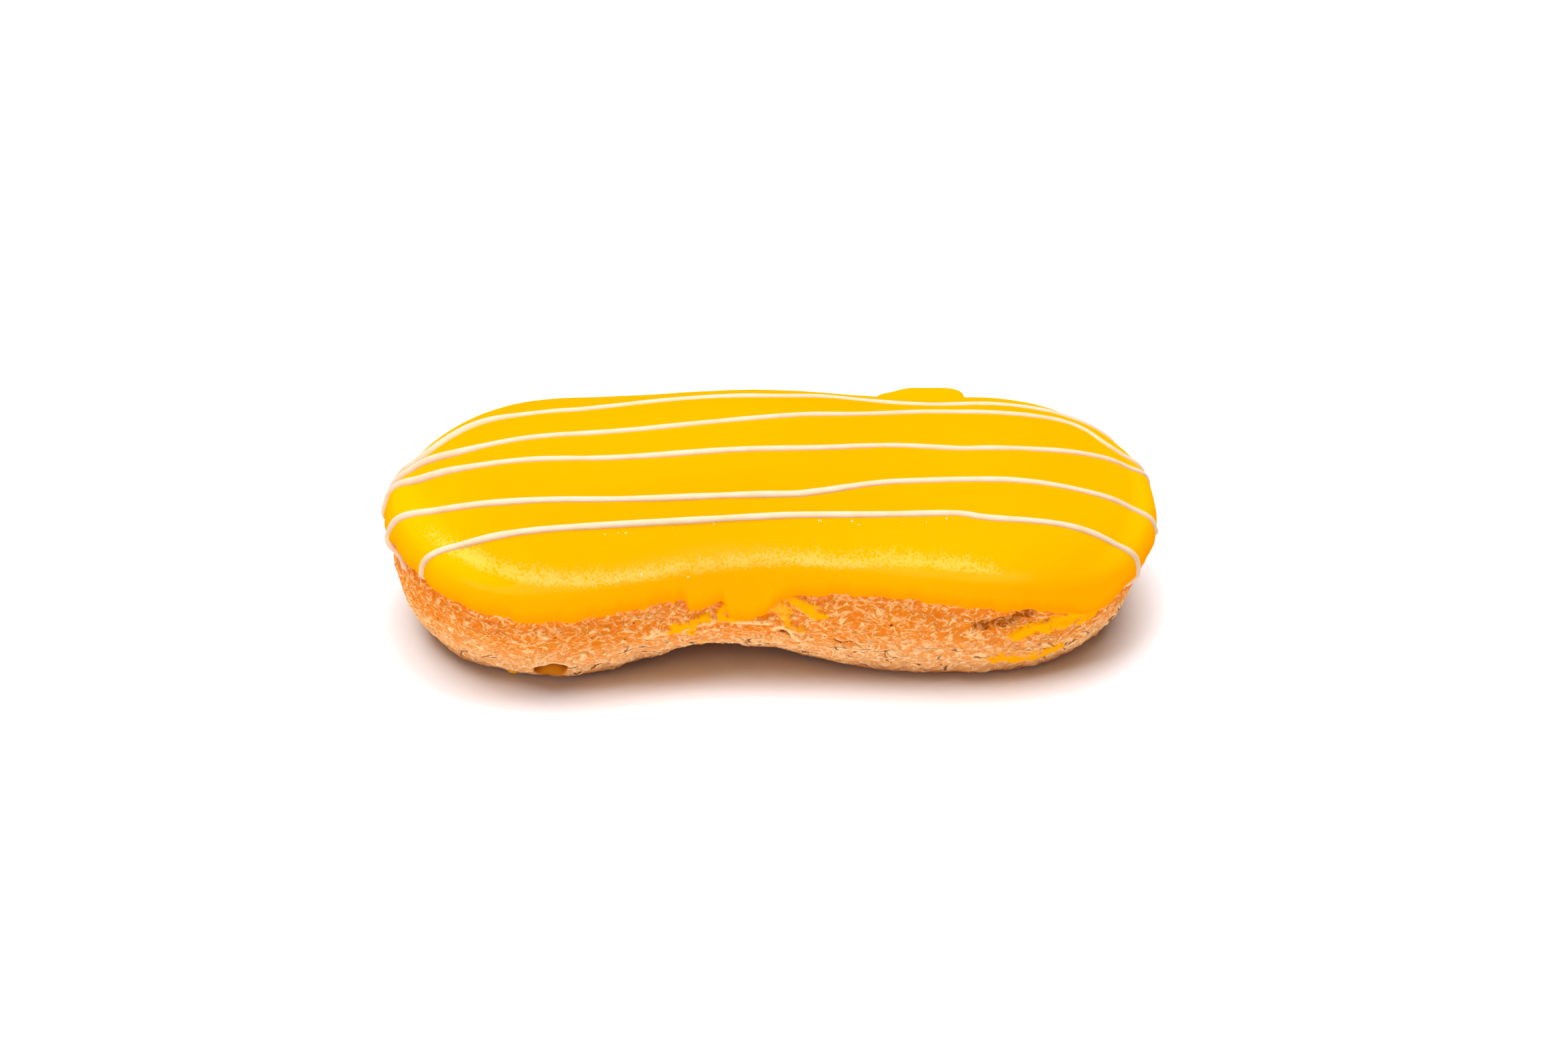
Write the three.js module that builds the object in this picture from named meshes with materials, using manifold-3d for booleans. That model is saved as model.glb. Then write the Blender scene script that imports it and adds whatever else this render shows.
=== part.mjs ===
// An eclair: a baked choux pastry, pinched at its front, under yellow icing with cream drizzle.
// Millimetres, +Z up. The pinched front faces -Y and the origin is under the middle of the base.
import * as THREE from 'three';
import { ParametricGeometry } from 'three/addons/geometries/ParametricGeometry.js';
import { ImprovedNoise } from 'three/addons/math/ImprovedNoise.js';
import { mergeVertices } from 'three/addons/utils/BufferGeometryUtils.js';
import Module from 'manifold-3d';

const { clamp, lerp, smoothstep, euclideanModulo } = THREE.MathUtils;

// Plan of the pastry: a straight spine with a lobe round each end
const HALF_SPINE = 36;
const END_REACH = 33.4; // from the spine's end to the tip of the lobe
const SIDE_REACH = { front: 29.1, back: 28.7 }; // from the spine to the side, without the waist
const WAIST = { x: -10.3, width: 23.8, front: 4, back: 1.5, tuck: 5.8 }; // tuck is how far the foot goes in
const LOBE_POWER = 2.2; // 2 would round the lobes as ellipses, and more is squarer

// Cross-section: a domed top over a belly that tucks in to a flat base
const CREST = { left: 36.8, middle: 38.5, right: 32.7, width: 26 };
const WIDEST_HEIGHT = 15.6;
const CROWN_FLATNESS = 0.68; // share of the reach over which the crest stays level
const SHOULDER_STEEPNESS = 0.45; // share of the dome's height over which its side stays upright
const SQUARE = { from: -6, to: 34, crown: 0.05, shoulder: 0.25 }; // the right lobe's front is squarer
const BELLY_STEEPNESS = 0.29;
const FOOT_SHARE = 0.77; // the foot's reach over the widest reach
const FOOT_ROUNDNESS = 0.45;
const WAIST_LIFT = { height: 3, width: 16.7 }; // the baked front edge stands off the table at the waist
const FLAT_SHARE = 0.5; // share of the foot's reach, from the spine, that lies on the table

// Crags of the crust, below the icing
const CRAG_DEPTH = 1.5;
const CRAG_SIZES = [
  { along: 8, up: 3.6, share: 0.9 },
  { along: 4.2, up: 2.6, share: 0.6 },
];
const CRAG_START = 0.12; // how far below the icing's edge the crags reach their full depth
const CRAG_END = 1.75; // and from where they fade out towards the foot
const BUBBLE = { x: -40.9, y: -24.3, z: 5.8, halfLength: 3.1, halfHeight: 1.7, depth: 2.8 };

// Icing: a skin over the top, down to a wavy edge. Turns are 0 to 1 along the front from the left,
// 1 to 2 round the right end, 2 to 3 along the back and 3 to 4 round the left end.
const GAP = 0.3; // clearance between the icing and the pastry under it
const ICING = 1.6;
const RIM_BULGE = 0.03;
const EDGE = 0.87; // the edge's usual place: 0 is the crest and 1 the widest line
const SAGS = [
  { turn: 0.5, width: 0.36, drop: -0.095 },
  { turn: 0.8, width: 0.14, drop: -0.035 },
  { turn: 1.22, width: 0.12, drop: 0.08 },
  { turn: 2.3, width: 0.25, drop: 0.05 },
  { turn: 2.75, width: 0.2, drop: -0.05 },
  { turn: 3.2, width: 0.15, drop: 0.05 },
  { turn: 3.62, width: 0.17, drop: -0.11 },
];
const DRIPS = [
  { turn: 0.403, width: 0.06, drop: 0.19 },
  { turn: 0.297, width: 0.03, drop: 0.09 },
  { turn: 1.225, width: 0.05, drop: 0.06 },
];
const LUMP = { from: 21.2, to: 37.1, slope: 1.5, place: 0.5, width: 0.1, height: 1.9 }; // on the back slope

// Drizzle: strings laid lengthwise over the icing, as points of the top rolled out flat,
// where the distance from the spine over the reach there is the place between crest and widest line
const STRING_RADIUS = 0.68;
const STRING_FALL = 0.1; // how far past the icing's edge a string comes down to the crust
const STRINGS = [
  [[-61, 7.4], [-54, 5.3], [-46, 6], [-38, 5.1], [-20, 6.2], [0, 6.3], [14, 8.4], [36, 8.6], [48, 9.5],
    [60, 12.5]],
  [[-63, 5.8], [-54.5, 3.7], [-46, 0.9], [-30, 0.6], [-6, 1], [10, 3], [28, 6], [40, 5.9], [49, 6.7], [54, 5],
    [64, 6]],
  [[-65, 2.2], [-59, 2.5], [-51, -0.8], [-38, -2.7], [0, -2.9], [23, -0.5], [42, -0.5], [57, 2.4], [65, 4.9]],
  [[-63.5, -10.5], [-62.4, -6.4], [-58.9, -5], [-46.5, -7.3], [-34, -8], [-1.4, -8.4], [8, -7.9], [22, -5.6],
    [36, -5], [47, -6.1], [56, -6.3], [65, -6.8]],
  [[-57, -14.6], [-54.3, -12.6], [-46, -11.8], [-27, -11.1], [-1.5, -10.9], [12.4, -10.7], [31, -9.9],
    [38.4, -10.9], [46, -11.8], [53.4, -13.2], [60.2, -14.8], [65, -19]],
];

// Fineness of the meshes. The sides' columns are closest together at the drips.
const SIDE_COLUMNS = 26;
const END_COLUMNS = 30;
const CROWDING = { turn: 0.38, share: 0.5 };
const COLUMNS = 2 * (SIDE_COLUMNS + END_COLUMNS);
const CAP_ROWS = 5; // pastry under the icing
const CRUST_ROWS = 10; // pastry from the icing's edge to the foot
const BASE_ROWS = 3;
const ICING_ROWS = 7;
const RIM_ROWS = 2;
const PASTRY_ROWS = CAP_ROWS + CRUST_ROWS + BASE_ROWS;
const DOME_ROWS = ICING_ROWS + RIM_ROWS + 1;
const STRING_STEPS = 26;
const STRING_SIDES = 6;
const MERGE_DISTANCE = 1e-3;

const wasm = await Module();
wasm.setup();
const noise = new ImprovedNoise();

// A bell of height 1, and one with a flatter top
const swell = (x, width) => Math.exp(-((x / width) ** 2));
const plateau = (x, width) => Math.exp(-((x / width) ** 4));

// The line from a point of the spine out to the pastry's widest line, in the direction of an angle in plan
function rayFrom(x, angle) {
  const dx = Math.cos(angle);
  const dy = Math.sin(angle);
  const pinch = swell(x - WAIST.x, WAIST.width);
  const side = dy < 0 ? SIDE_REACH.front - WAIST.front * pinch : SIDE_REACH.back - WAIST.back * pinch;
  const total = (Math.abs(dx) / END_REACH) ** LOBE_POWER + (Math.abs(dy) / side) ** LOBE_POWER;
  return { x, dx, dy, reach: total ** (-1 / LOBE_POWER) };
}

function rayAtTurn(turn) {
  const quarter = Math.min(Math.floor(turn), 3);
  const part = turn - quarter;
  const along = HALF_SPINE * (2 * part - 1);
  if (quarter === 0) return rayFrom(along, -Math.PI / 2);
  if (quarter === 1) return rayFrom(HALF_SPINE, Math.PI * (part - 0.5));
  if (quarter === 2) return rayFrom(-along, Math.PI / 2);
  return rayFrom(-HALF_SPINE, Math.PI * (part + 0.5));
}

function turnOfRay(x, angle) {
  if (x >= HALF_SPINE) return 1.5 + angle / Math.PI;
  if (x <= -HALF_SPINE) return 2.5 + euclideanModulo(angle, 2 * Math.PI) / Math.PI;
  const part = (x / HALF_SPINE + 1) / 2;
  return angle < 0 ? part : 3 - part;
}

// A share of the front, counted from the left, drawn towards the drips
function crowd(part) {
  const wave = Math.sin(2 * Math.PI * (part - CROWDING.turn)) + Math.sin(2 * Math.PI * CROWDING.turn);
  return part - (CROWDING.share * wave) / (2 * Math.PI);
}

// Turn of a mesh column: front and back columns meet on the crest
function turnOfColumn(column) {
  const counts = [SIDE_COLUMNS, END_COLUMNS, SIDE_COLUMNS, END_COLUMNS];
  let quarter = 0;
  let left = column;
  while (quarter < 3 && left > counts[quarter]) {
    left -= counts[quarter];
    quarter += 1;
  }
  const part = left / counts[quarter];
  if (quarter === 0) return crowd(part);
  if (quarter === 2) return 3 - crowd(1 - part);
  return quarter + part;
}

function crestHeight(x) {
  const lobes = lerp(CREST.left, CREST.right, smoothstep(x, -HALF_SPINE, HALF_SPINE));
  return lobes + (CREST.middle - (CREST.left + CREST.right) / 2) * swell(x, CREST.width);
}

// A point on the pastry, raised by lift: v is 0 at the crest, 1 at the widest line, 2 at the foot
// and 3 under the spine
function surfacePoint(ray, v, lift) {
  const top = crestHeight(ray.x);
  const front = smoothstep(-ray.dy, 0, 1);
  const square = smoothstep(ray.x, SQUARE.from, SQUARE.to) * front;
  const foot = FOOT_SHARE * ray.reach - WAIST.tuck * swell(ray.x - WAIST.x, WAIST.width) * front;
  const stand = WAIST_LIFT.height * swell(ray.x - WAIST.x, WAIST_LIFT.width) * front;
  const flat = new THREE.Vector2();
  const tangent = new THREE.Vector2(-1, 0);
  if (v > 2) {
    const share = 3 - v;
    flat.set(foot * share, stand * smoothstep(share, FLAT_SHARE, 1));
  } else {
    const upper = v <= 1;
    const curve = new THREE.CubicBezierCurve();
    if (upper) {
      curve.v0.set(0, top);
      curve.v1.set((CROWN_FLATNESS + SQUARE.crown * square) * ray.reach, top);
      curve.v2.set(ray.reach, lerp(WIDEST_HEIGHT, top, SHOULDER_STEEPNESS + SQUARE.shoulder * square));
      curve.v3.set(ray.reach, WIDEST_HEIGHT);
    } else {
      curve.v0.set(ray.reach, WIDEST_HEIGHT);
      curve.v1.set(ray.reach, lerp(WIDEST_HEIGHT, stand, BELLY_STEEPNESS));
      curve.v2.set(lerp(foot, ray.reach, FOOT_ROUNDNESS), stand);
      curve.v3.set(foot, stand);
    }
    const along = upper ? v : v - 1;
    curve.getPoint(along, flat);
    curve.getTangent(along, tangent);
  }
  const out = flat.x - tangent.y * lift;
  return new THREE.Vector3(ray.x + ray.dx * out, ray.dy * out, flat.y + tangent.x * lift);
}

// How far down the icing reaches at a turn, without its drips and with them
const turnsApart = (a, b) => euclideanModulo(a - b + 2, 4) - 2;
const wavyEdge = (turn) =>
  SAGS.reduce((v, sag) => v + sag.drop * swell(turnsApart(turn, sag.turn), sag.width), EDGE);
const dripLength = (turn) =>
  DRIPS.reduce((v, drip) => v + drip.drop * plateau(turnsApart(turn, drip.turn), drip.width), 0);
const icingEdge = (turn) => wavyEdge(turn) + dripLength(turn);

// How far the crust is sunk at a place below the icing
function cragDepth(point, v, edge) {
  let hollow = 0.5;
  for (const { along, up, share } of CRAG_SIZES) {
    hollow += share * noise.noise(point.x / along, point.y / along, point.z / up);
  }
  const fade = smoothstep(v, edge, edge + CRAG_START) * (1 - smoothstep(v, CRAG_END, 2));
  return CRAG_DEPTH * clamp(hollow, 0, 1) * fade;
}

// The pastry's surface, from the crest down to the foot and in under the spine
function pastryPoint(u, share, target, lift = 0) {
  const turn = turnOfColumn((1 - u) * COLUMNS);
  const ray = rayAtTurn(turn);
  const row = share * PASTRY_ROWS;
  let v = EDGE * (row / CAP_ROWS);
  if (row > CAP_ROWS) v = lerp(EDGE, 2, (row - CAP_ROWS) / CRUST_ROWS);
  if (row > CAP_ROWS + CRUST_ROWS) v = 2 + (row - CAP_ROWS - CRUST_ROWS) / BASE_ROWS;
  target.copy(surfacePoint(ray, v, lift));
  const edge = icingEdge(turn);
  if (lift === 0 && v > edge && v < 2) target.copy(surfacePoint(ray, v, -cragDepth(target, v, edge)));
}

function lumpHeight(point, ray, v) {
  if (ray.dy <= 0) return 0;
  const starts = smoothstep(point.x, LUMP.from - LUMP.slope, LUMP.from + LUMP.slope);
  const ends = 1 - smoothstep(point.x, LUMP.to - LUMP.slope, LUMP.to + LUMP.slope);
  return LUMP.height * starts * ends * plateau(v - LUMP.place, LUMP.width);
}

// The poured icing as a solid dome: down its outside, round its rim and straight in to the spine
function domePoint(u, share, target) {
  const turn = turnOfColumn((1 - u) * COLUMNS);
  const ray = rayAtTurn(turn);
  const edge = icingEdge(turn);
  const row = share * DOME_ROWS;
  if (row <= ICING_ROWS) {
    const down = row / ICING_ROWS;
    const v = wavyEdge(turn) * down + dripLength(turn) * down ** 4;
    const lift = GAP + ICING;
    target.copy(surfacePoint(ray, v, lift + lumpHeight(surfacePoint(ray, v, lift), ray, v)));
  } else if (row <= ICING_ROWS + RIM_ROWS) {
    const angle = (Math.PI / 2) * ((row - ICING_ROWS) / RIM_ROWS);
    target.copy(surfacePoint(ray, edge + RIM_BULGE * Math.sin(angle), (GAP + ICING) * Math.cos(angle)));
  } else {
    target.set(ray.x, 0, WIDEST_HEIGHT);
  }
}

// A string of drizzle, half sunk in the icing and coming down to the crust past the icing's edge
function stringGeometry(points) {
  const route = new THREE.SplineCurve(points.map(([x, y]) => new THREE.Vector2(x, y)));
  const places = route.getSpacedPoints(STRING_STEPS).map(({ x, y }) => {
    const spineX = clamp(x, -HALF_SPINE, HALF_SPINE);
    const angle = Math.atan2(y, x - spineX);
    const ray = rayFrom(spineX, angle);
    const v = Math.hypot(x - spineX, y) / ray.reach;
    const edge = icingEdge(turnOfRay(spineX, angle));
    const fallen = smoothstep(v, edge, edge + STRING_FALL);
    return surfacePoint(ray, v, lerp(GAP + ICING, GAP + STRING_RADIUS, fallen));
  });
  const circle = new THREE.Shape().absarc(0, 0, STRING_RADIUS, 0, 2 * Math.PI);
  return new THREE.ExtrudeGeometry(circle, {
    steps: STRING_STEPS,
    curveSegments: STRING_SIDES / 2,
    extrudePath: new THREE.CatmullRomCurve3(places),
  });
}

function bubbleGeometry() {
  const geometry = new THREE.SphereGeometry(1, 12, 8);
  geometry.scale(BUBBLE.halfLength, BUBBLE.depth, BUBBLE.halfHeight);
  geometry.translate(BUBBLE.x, BUBBLE.y, BUBBLE.z);
  return geometry;
}

// A closed geometry as a solid, with its seams merged and its collapsed triangles left out
function solidOf(geometry) {
  const bare = geometry.clone();
  bare.deleteAttribute('normal');
  bare.deleteAttribute('uv');
  const merged = mergeVertices(bare, MERGE_DISTANCE);
  const index = merged.index.array;
  const triangles = [];
  for (let i = 0; i < index.length; i += 3) {
    const [a, b, c] = index.slice(i, i + 3);
    if (a !== b && b !== c && c !== a) triangles.push(a, b, c);
  }
  const vertProperties = new Float32Array(merged.attributes.position.array);
  const triVerts = new Uint32Array(triangles);
  return new wasm.Manifold(new wasm.Mesh({ numProp: 3, vertProperties, triVerts }));
}

function geometryOf(solid) {
  const { vertProperties, triVerts } = solid.getMesh();
  const geometry = new THREE.BufferGeometry();
  geometry.setAttribute('position', new THREE.BufferAttribute(vertProperties, 3));
  geometry.setIndex(new THREE.BufferAttribute(triVerts, 1));
  geometry.computeVertexNormals();
  return geometry;
}

function makePastry() {
  const loaf = solidOf(new ParametricGeometry(pastryPoint, COLUMNS, PASTRY_ROWS));
  const solid = loaf.subtract(solidOf(bubbleGeometry()));
  const material = new THREE.MeshStandardMaterial({ color: '#dca566', roughness: 0.85, metalness: 0 });
  const mesh = new THREE.Mesh(geometryOf(solid), material);
  mesh.name = 'pastry';
  return mesh;
}

function makeIcing() {
  const clearance = (u, share, target) => pastryPoint(u, share, target, GAP);
  const dome = solidOf(new ParametricGeometry(domePoint, COLUMNS, DOME_ROWS));
  let solid = dome.subtract(solidOf(new ParametricGeometry(clearance, COLUMNS, PASTRY_ROWS)));
  for (const points of STRINGS) solid = solid.add(solidOf(stringGeometry(points)));
  const material = new THREE.MeshStandardMaterial({ color: '#fbbf08', roughness: 0.3, metalness: 0 });
  const mesh = new THREE.Mesh(geometryOf(solid), material);
  mesh.name = 'icing';
  return mesh;
}

const eclair = new THREE.Group();
eclair.name = 'eclair';
eclair.add(makePastry(), makeIcing());

export default eclair;
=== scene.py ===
"""An eclair on a white table: a choux pastry under yellow icing, with cream drizzle laid over it lengthwise.

Sizes are millimetres, and meshes are made in metres. A place on the eclair is a turn round its plan and a
height v on its section (0 crest, 1 widest line, 2 foot, 3 under the spine), or a point of the top rolled out
flat, where the distance from the spine over the reach there is v.
"""

import logging
import math
from collections.abc import Mapping, Sequence
from dataclasses import dataclass, field
from enum import Enum
from typing import Any

import bmesh
import bpy
import numpy as np
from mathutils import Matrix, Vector


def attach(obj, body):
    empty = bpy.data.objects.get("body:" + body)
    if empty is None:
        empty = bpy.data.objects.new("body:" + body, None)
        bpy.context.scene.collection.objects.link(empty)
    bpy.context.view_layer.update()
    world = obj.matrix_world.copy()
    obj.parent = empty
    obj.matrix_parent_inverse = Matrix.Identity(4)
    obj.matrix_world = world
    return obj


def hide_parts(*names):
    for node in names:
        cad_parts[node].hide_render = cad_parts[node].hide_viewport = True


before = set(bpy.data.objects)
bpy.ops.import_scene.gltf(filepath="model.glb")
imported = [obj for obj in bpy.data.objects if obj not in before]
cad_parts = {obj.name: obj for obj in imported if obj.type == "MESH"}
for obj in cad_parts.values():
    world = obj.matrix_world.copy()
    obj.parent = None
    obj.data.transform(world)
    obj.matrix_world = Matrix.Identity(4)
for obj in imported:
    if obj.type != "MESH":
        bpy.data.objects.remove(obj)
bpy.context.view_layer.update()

MM = 0.001
BODY = "root"
log = logging.getLogger("eclair")

Array = np.ndarray
FlatPoint = tuple[float, float]
Socket = bpy.types.NodeSocket

# Settings of nodes that are used again and again
SMOOTH = {"interpolation_type": "SMOOTHSTEP"}
MULTIPLY = {"operation": "MULTIPLY"}
MULTIPLY_ADD = {"operation": "MULTIPLY_ADD"}
COLOUR_MIX = {"output": 2, "data_type": "RGBA"}
RANDOM_NUMBER = {"output": 1, "data_type": "FLOAT"}

# Inputs of Mix and Random Value that only their place tells apart
SHARE, UNDER, OVER = 0, 6, 7
LEAST, MOST = 2, 3

# Squeezes places of the crust, so that cracks and ledges run along the eclair
LENGTHWISE = (0.42, 0.42, 1.0)

# Turns once round the eclair
WHOLE_TURN = 4.0

# Points closer than this, in metres, are one
MERGE_GAP = 1e-7


def smoothstep(x: Array, low: Array | float, high: Array | float) -> Array:
    """Rises smoothly from 0 to 1.

    Args:
        x: The numbers to ease.
        low: Where the rise starts.
        high: Where the rise ends.

    Returns:
        A number from 0 to 1 for each of them.
    """
    t = np.clip((x - low) / (high - low), 0.0, 1.0)
    return t * t * (3.0 - 2.0 * t)


def swell(x: Array, width: float) -> Array:
    """A bell of height 1 at 0."""
    return np.exp(-((x / width) ** 2))


def plateau(x: Array, width: float) -> Array:
    """A bell of height 1 at 0 with a flat top."""
    return np.exp(-((x / width) ** 4))


def shortest_turn(turn: Array) -> Array:
    """The same turns as seen from 0, between half a round back and half a round on."""
    return np.mod(turn + WHOLE_TURN / 2.0, WHOLE_TURN) - WHOLE_TURN / 2.0


def linear(hex_colour: str) -> tuple[float, float, float, float]:
    """Turns an sRGB colour linear.

    Args:
        hex_colour: The colour, as # and six digits.

    Returns:
        Linear red, green and blue, and an alpha of 1.
    """
    parts = [int(hex_colour[i : i + 2], 16) / 255.0 for i in (1, 3, 5)]
    red, green, blue = (c / 12.92 if c <= 0.04045 else ((c + 0.055) / 1.055) ** 2.4 for c in parts)
    return red, green, blue, 1.0


def add(
    tree: bpy.types.NodeTree,
    kind: str,
    inputs: Mapping[Any, Any] | Sequence[Any] = (),
    output: int | str = 0,
    **settings: Any,
) -> Socket | None:
    """Adds a node, with its settings, values and links.

    Args:
        tree: The node tree that takes the node.
        kind: The node's type name.
        inputs: Values or sockets for its inputs, by name or place, or in order.
        output: Which output to return.
        settings: Properties of the node.

    Returns:
        One output socket of the node, or None where it has none.
    """
    node = tree.nodes.new(kind)
    for name, value in settings.items():
        setattr(node, name, value)
    for key, value in inputs.items() if isinstance(inputs, Mapping) else enumerate(inputs):
        if isinstance(value, Socket):
            tree.links.new(value, node.inputs[key])
        else:
            node.inputs[key].default_value = value
    return node.outputs[output] if node.outputs else None


def new_material(name: str) -> tuple[bpy.types.Material, bpy.types.NodeTree]:
    """Makes a material with an empty node tree.

    Args:
        name: The material's name.

    Returns:
        The material and its tree.
    """
    material = bpy.data.materials.new(name)
    material.use_nodes = True
    material.node_tree.nodes.clear()
    return material, material.node_tree


class GeometryTree:
    """A Geometry Nodes tree with named inputs, run once on an object."""

    def __init__(self, name: str) -> None:
        """Makes the tree with its geometry input and output.

        Args:
            name: The tree's name.
        """
        self.tree = bpy.data.node_groups.new(name, "GeometryNodeTree")
        self.tree.interface.new_socket("Geometry", in_out="INPUT", socket_type="NodeSocketGeometry")
        self.tree.interface.new_socket("Geometry", in_out="OUTPUT", socket_type="NodeSocketGeometry")
        self.group = self.tree.nodes.new("NodeGroupInput")
        self.values: dict[str, Any] = {}

    @property
    def geometry(self) -> Socket:
        """The geometry that the tree starts from."""
        return self.group.outputs["Geometry"]

    def input(self, name: str, value: Any, kind: str = "NodeSocketFloat") -> Socket:
        """Adds a named input.

        Args:
            name: The input's name.
            value: What the modifier sets it to.
            kind: The socket's type.

        Returns:
            The socket inside the tree.
        """
        socket = self.tree.interface.new_socket(name, in_out="INPUT", socket_type=kind)
        self.values[socket.identifier] = value
        return self.group.outputs[name]

    def run(self, piece: bpy.types.Object, geometry: Socket, material: bpy.types.Material) -> None:
        """Ends the tree, runs it on the piece and keeps the result as the piece's own mesh.

        Args:
            piece: The mesh object that carries the tree for a moment.
            geometry: The finished geometry inside the tree.
            material: The material that every face gets.
        """
        real = add(self.tree, "GeometryNodeRealizeInstances", {"Geometry": geometry})
        smooth = add(self.tree, "GeometryNodeSetShadeSmooth", {"Geometry": real, "Shade Smooth": True})
        dressed = add(self.tree, "GeometryNodeSetMaterial", {"Geometry": smooth, "Material": material})
        add(self.tree, "NodeGroupOutput", {"Geometry": dressed})
        modifier = piece.modifiers.new(self.tree.name, "NODES")
        modifier.node_group = self.tree
        for identifier, value in self.values.items():
            modifier[identifier] = value
        graph = bpy.context.evaluated_depsgraph_get()
        made = bpy.data.meshes.new_from_object(piece.evaluated_get(graph), depsgraph=graph)
        piece.modifiers.remove(modifier)
        made.name = piece.name
        piece.data = made


def link_mesh(name: str, mesh: bpy.types.Mesh) -> bpy.types.Object:
    """Puts a mesh in the scene as an object at the origin.

    Args:
        name: The object's name.
        mesh: Its mesh.

    Returns:
        The object.
    """
    piece = bpy.data.objects.new(name, mesh)
    bpy.context.scene.collection.objects.link(piece)
    return piece


def grid_piece(name: str, points: Array, attributes: Mapping[str, Array]) -> bpy.types.Object:
    """Makes a closed mesh from rows of points that run round the eclair.

    Args:
        name: The object's name.
        points: Rows by columns by 3, in millimetres. The first and last row lie on the spine.
        attributes: Numbers for each point, rows by columns, by name.

    Returns:
        The object, with the points that coincide merged and its faces pointing out.
    """
    rows, columns = points.shape[:2]
    index = np.arange(rows * columns).reshape(rows, columns)
    beside = np.roll(index, -1, axis=1)
    quads = np.stack([index[:-1], index[1:], beside[1:], beside[:-1]], axis=-1).reshape(-1, 4)
    mesh = bpy.data.meshes.new(name)
    mesh.from_pydata((points * MM).reshape(-1, 3), [], quads)
    for label, values in attributes.items():
        layer = mesh.attributes.new(label, "FLOAT", "POINT")
        layer.data.foreach_set("value", np.ascontiguousarray(values, np.float32).ravel())
    shape = bmesh.new()
    shape.from_mesh(mesh)
    bmesh.ops.remove_doubles(shape, verts=shape.verts, dist=MERGE_GAP)
    bmesh.ops.recalc_face_normals(shape, faces=shape.faces)
    shape.to_mesh(mesh)
    shape.free()
    return link_mesh(name, mesh)


def spline(points: Sequence[FlatPoint], steps: int) -> Array:
    """Points along a smooth curve through the given ones.

    Args:
        points: The points of the rolled-out top that the curve passes through.
        steps: How many pieces each stretch between two points is split into.

    Returns:
        The curve's points, one row each.
    """
    known = np.array([points[0], *points, points[-1]], float)
    t = np.linspace(0.0, 1.0, steps, endpoint=False)[:, None]
    stretches = []
    for a, b, c, d in zip(known, known[1:], known[2:], known[3:]):
        lean_in, lean_out = (c - a) / 2.0, (d - b) / 2.0
        third = 2.0 * (b - c) + lean_in + lean_out
        second = 3.0 * (c - b) - 2.0 * lean_in - lean_out
        stretches.append(((third * t + second) * t + lean_in) * t + b)
    return np.vstack([*stretches, known[-1:]])


def cubic(pulls: Sequence[Array], t: Array) -> tuple[Array, Array]:
    """A curve that starts and ends at two numbers and is pulled by two others between them.

    Args:
        pulls: The four numbers, in order.
        t: Where on the curve, from 0 to 1.

    Returns:
        The curve's number and its slope at each place.
    """
    s = 1.0 - t
    weights = (s**3, 3 * s * s * t, 3 * s * t * t, t**3)
    slopes = (-3 * s * s, 3 * s * s - 6 * s * t, 6 * s * t - 3 * t * t, 3 * t * t)
    return sum(w * p for w, p in zip(weights, pulls)), sum(w * p for w, p in zip(slopes, pulls))


@dataclass(frozen=True)
class Rays:
    """Lines in plan from the spine out to the pastry's widest line."""

    x: Array
    dx: Array
    dy: Array
    reach: Array


@dataclass(frozen=True)
class Sag:
    """A stretch where the icing's edge hangs lower, or is drawn up."""

    turn: float
    width: float
    drop: float


@dataclass(frozen=True)
class Lip:
    """A stretch where the icing hangs over the crust as a thick lip."""

    turn: float
    width: float
    height: float


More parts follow.
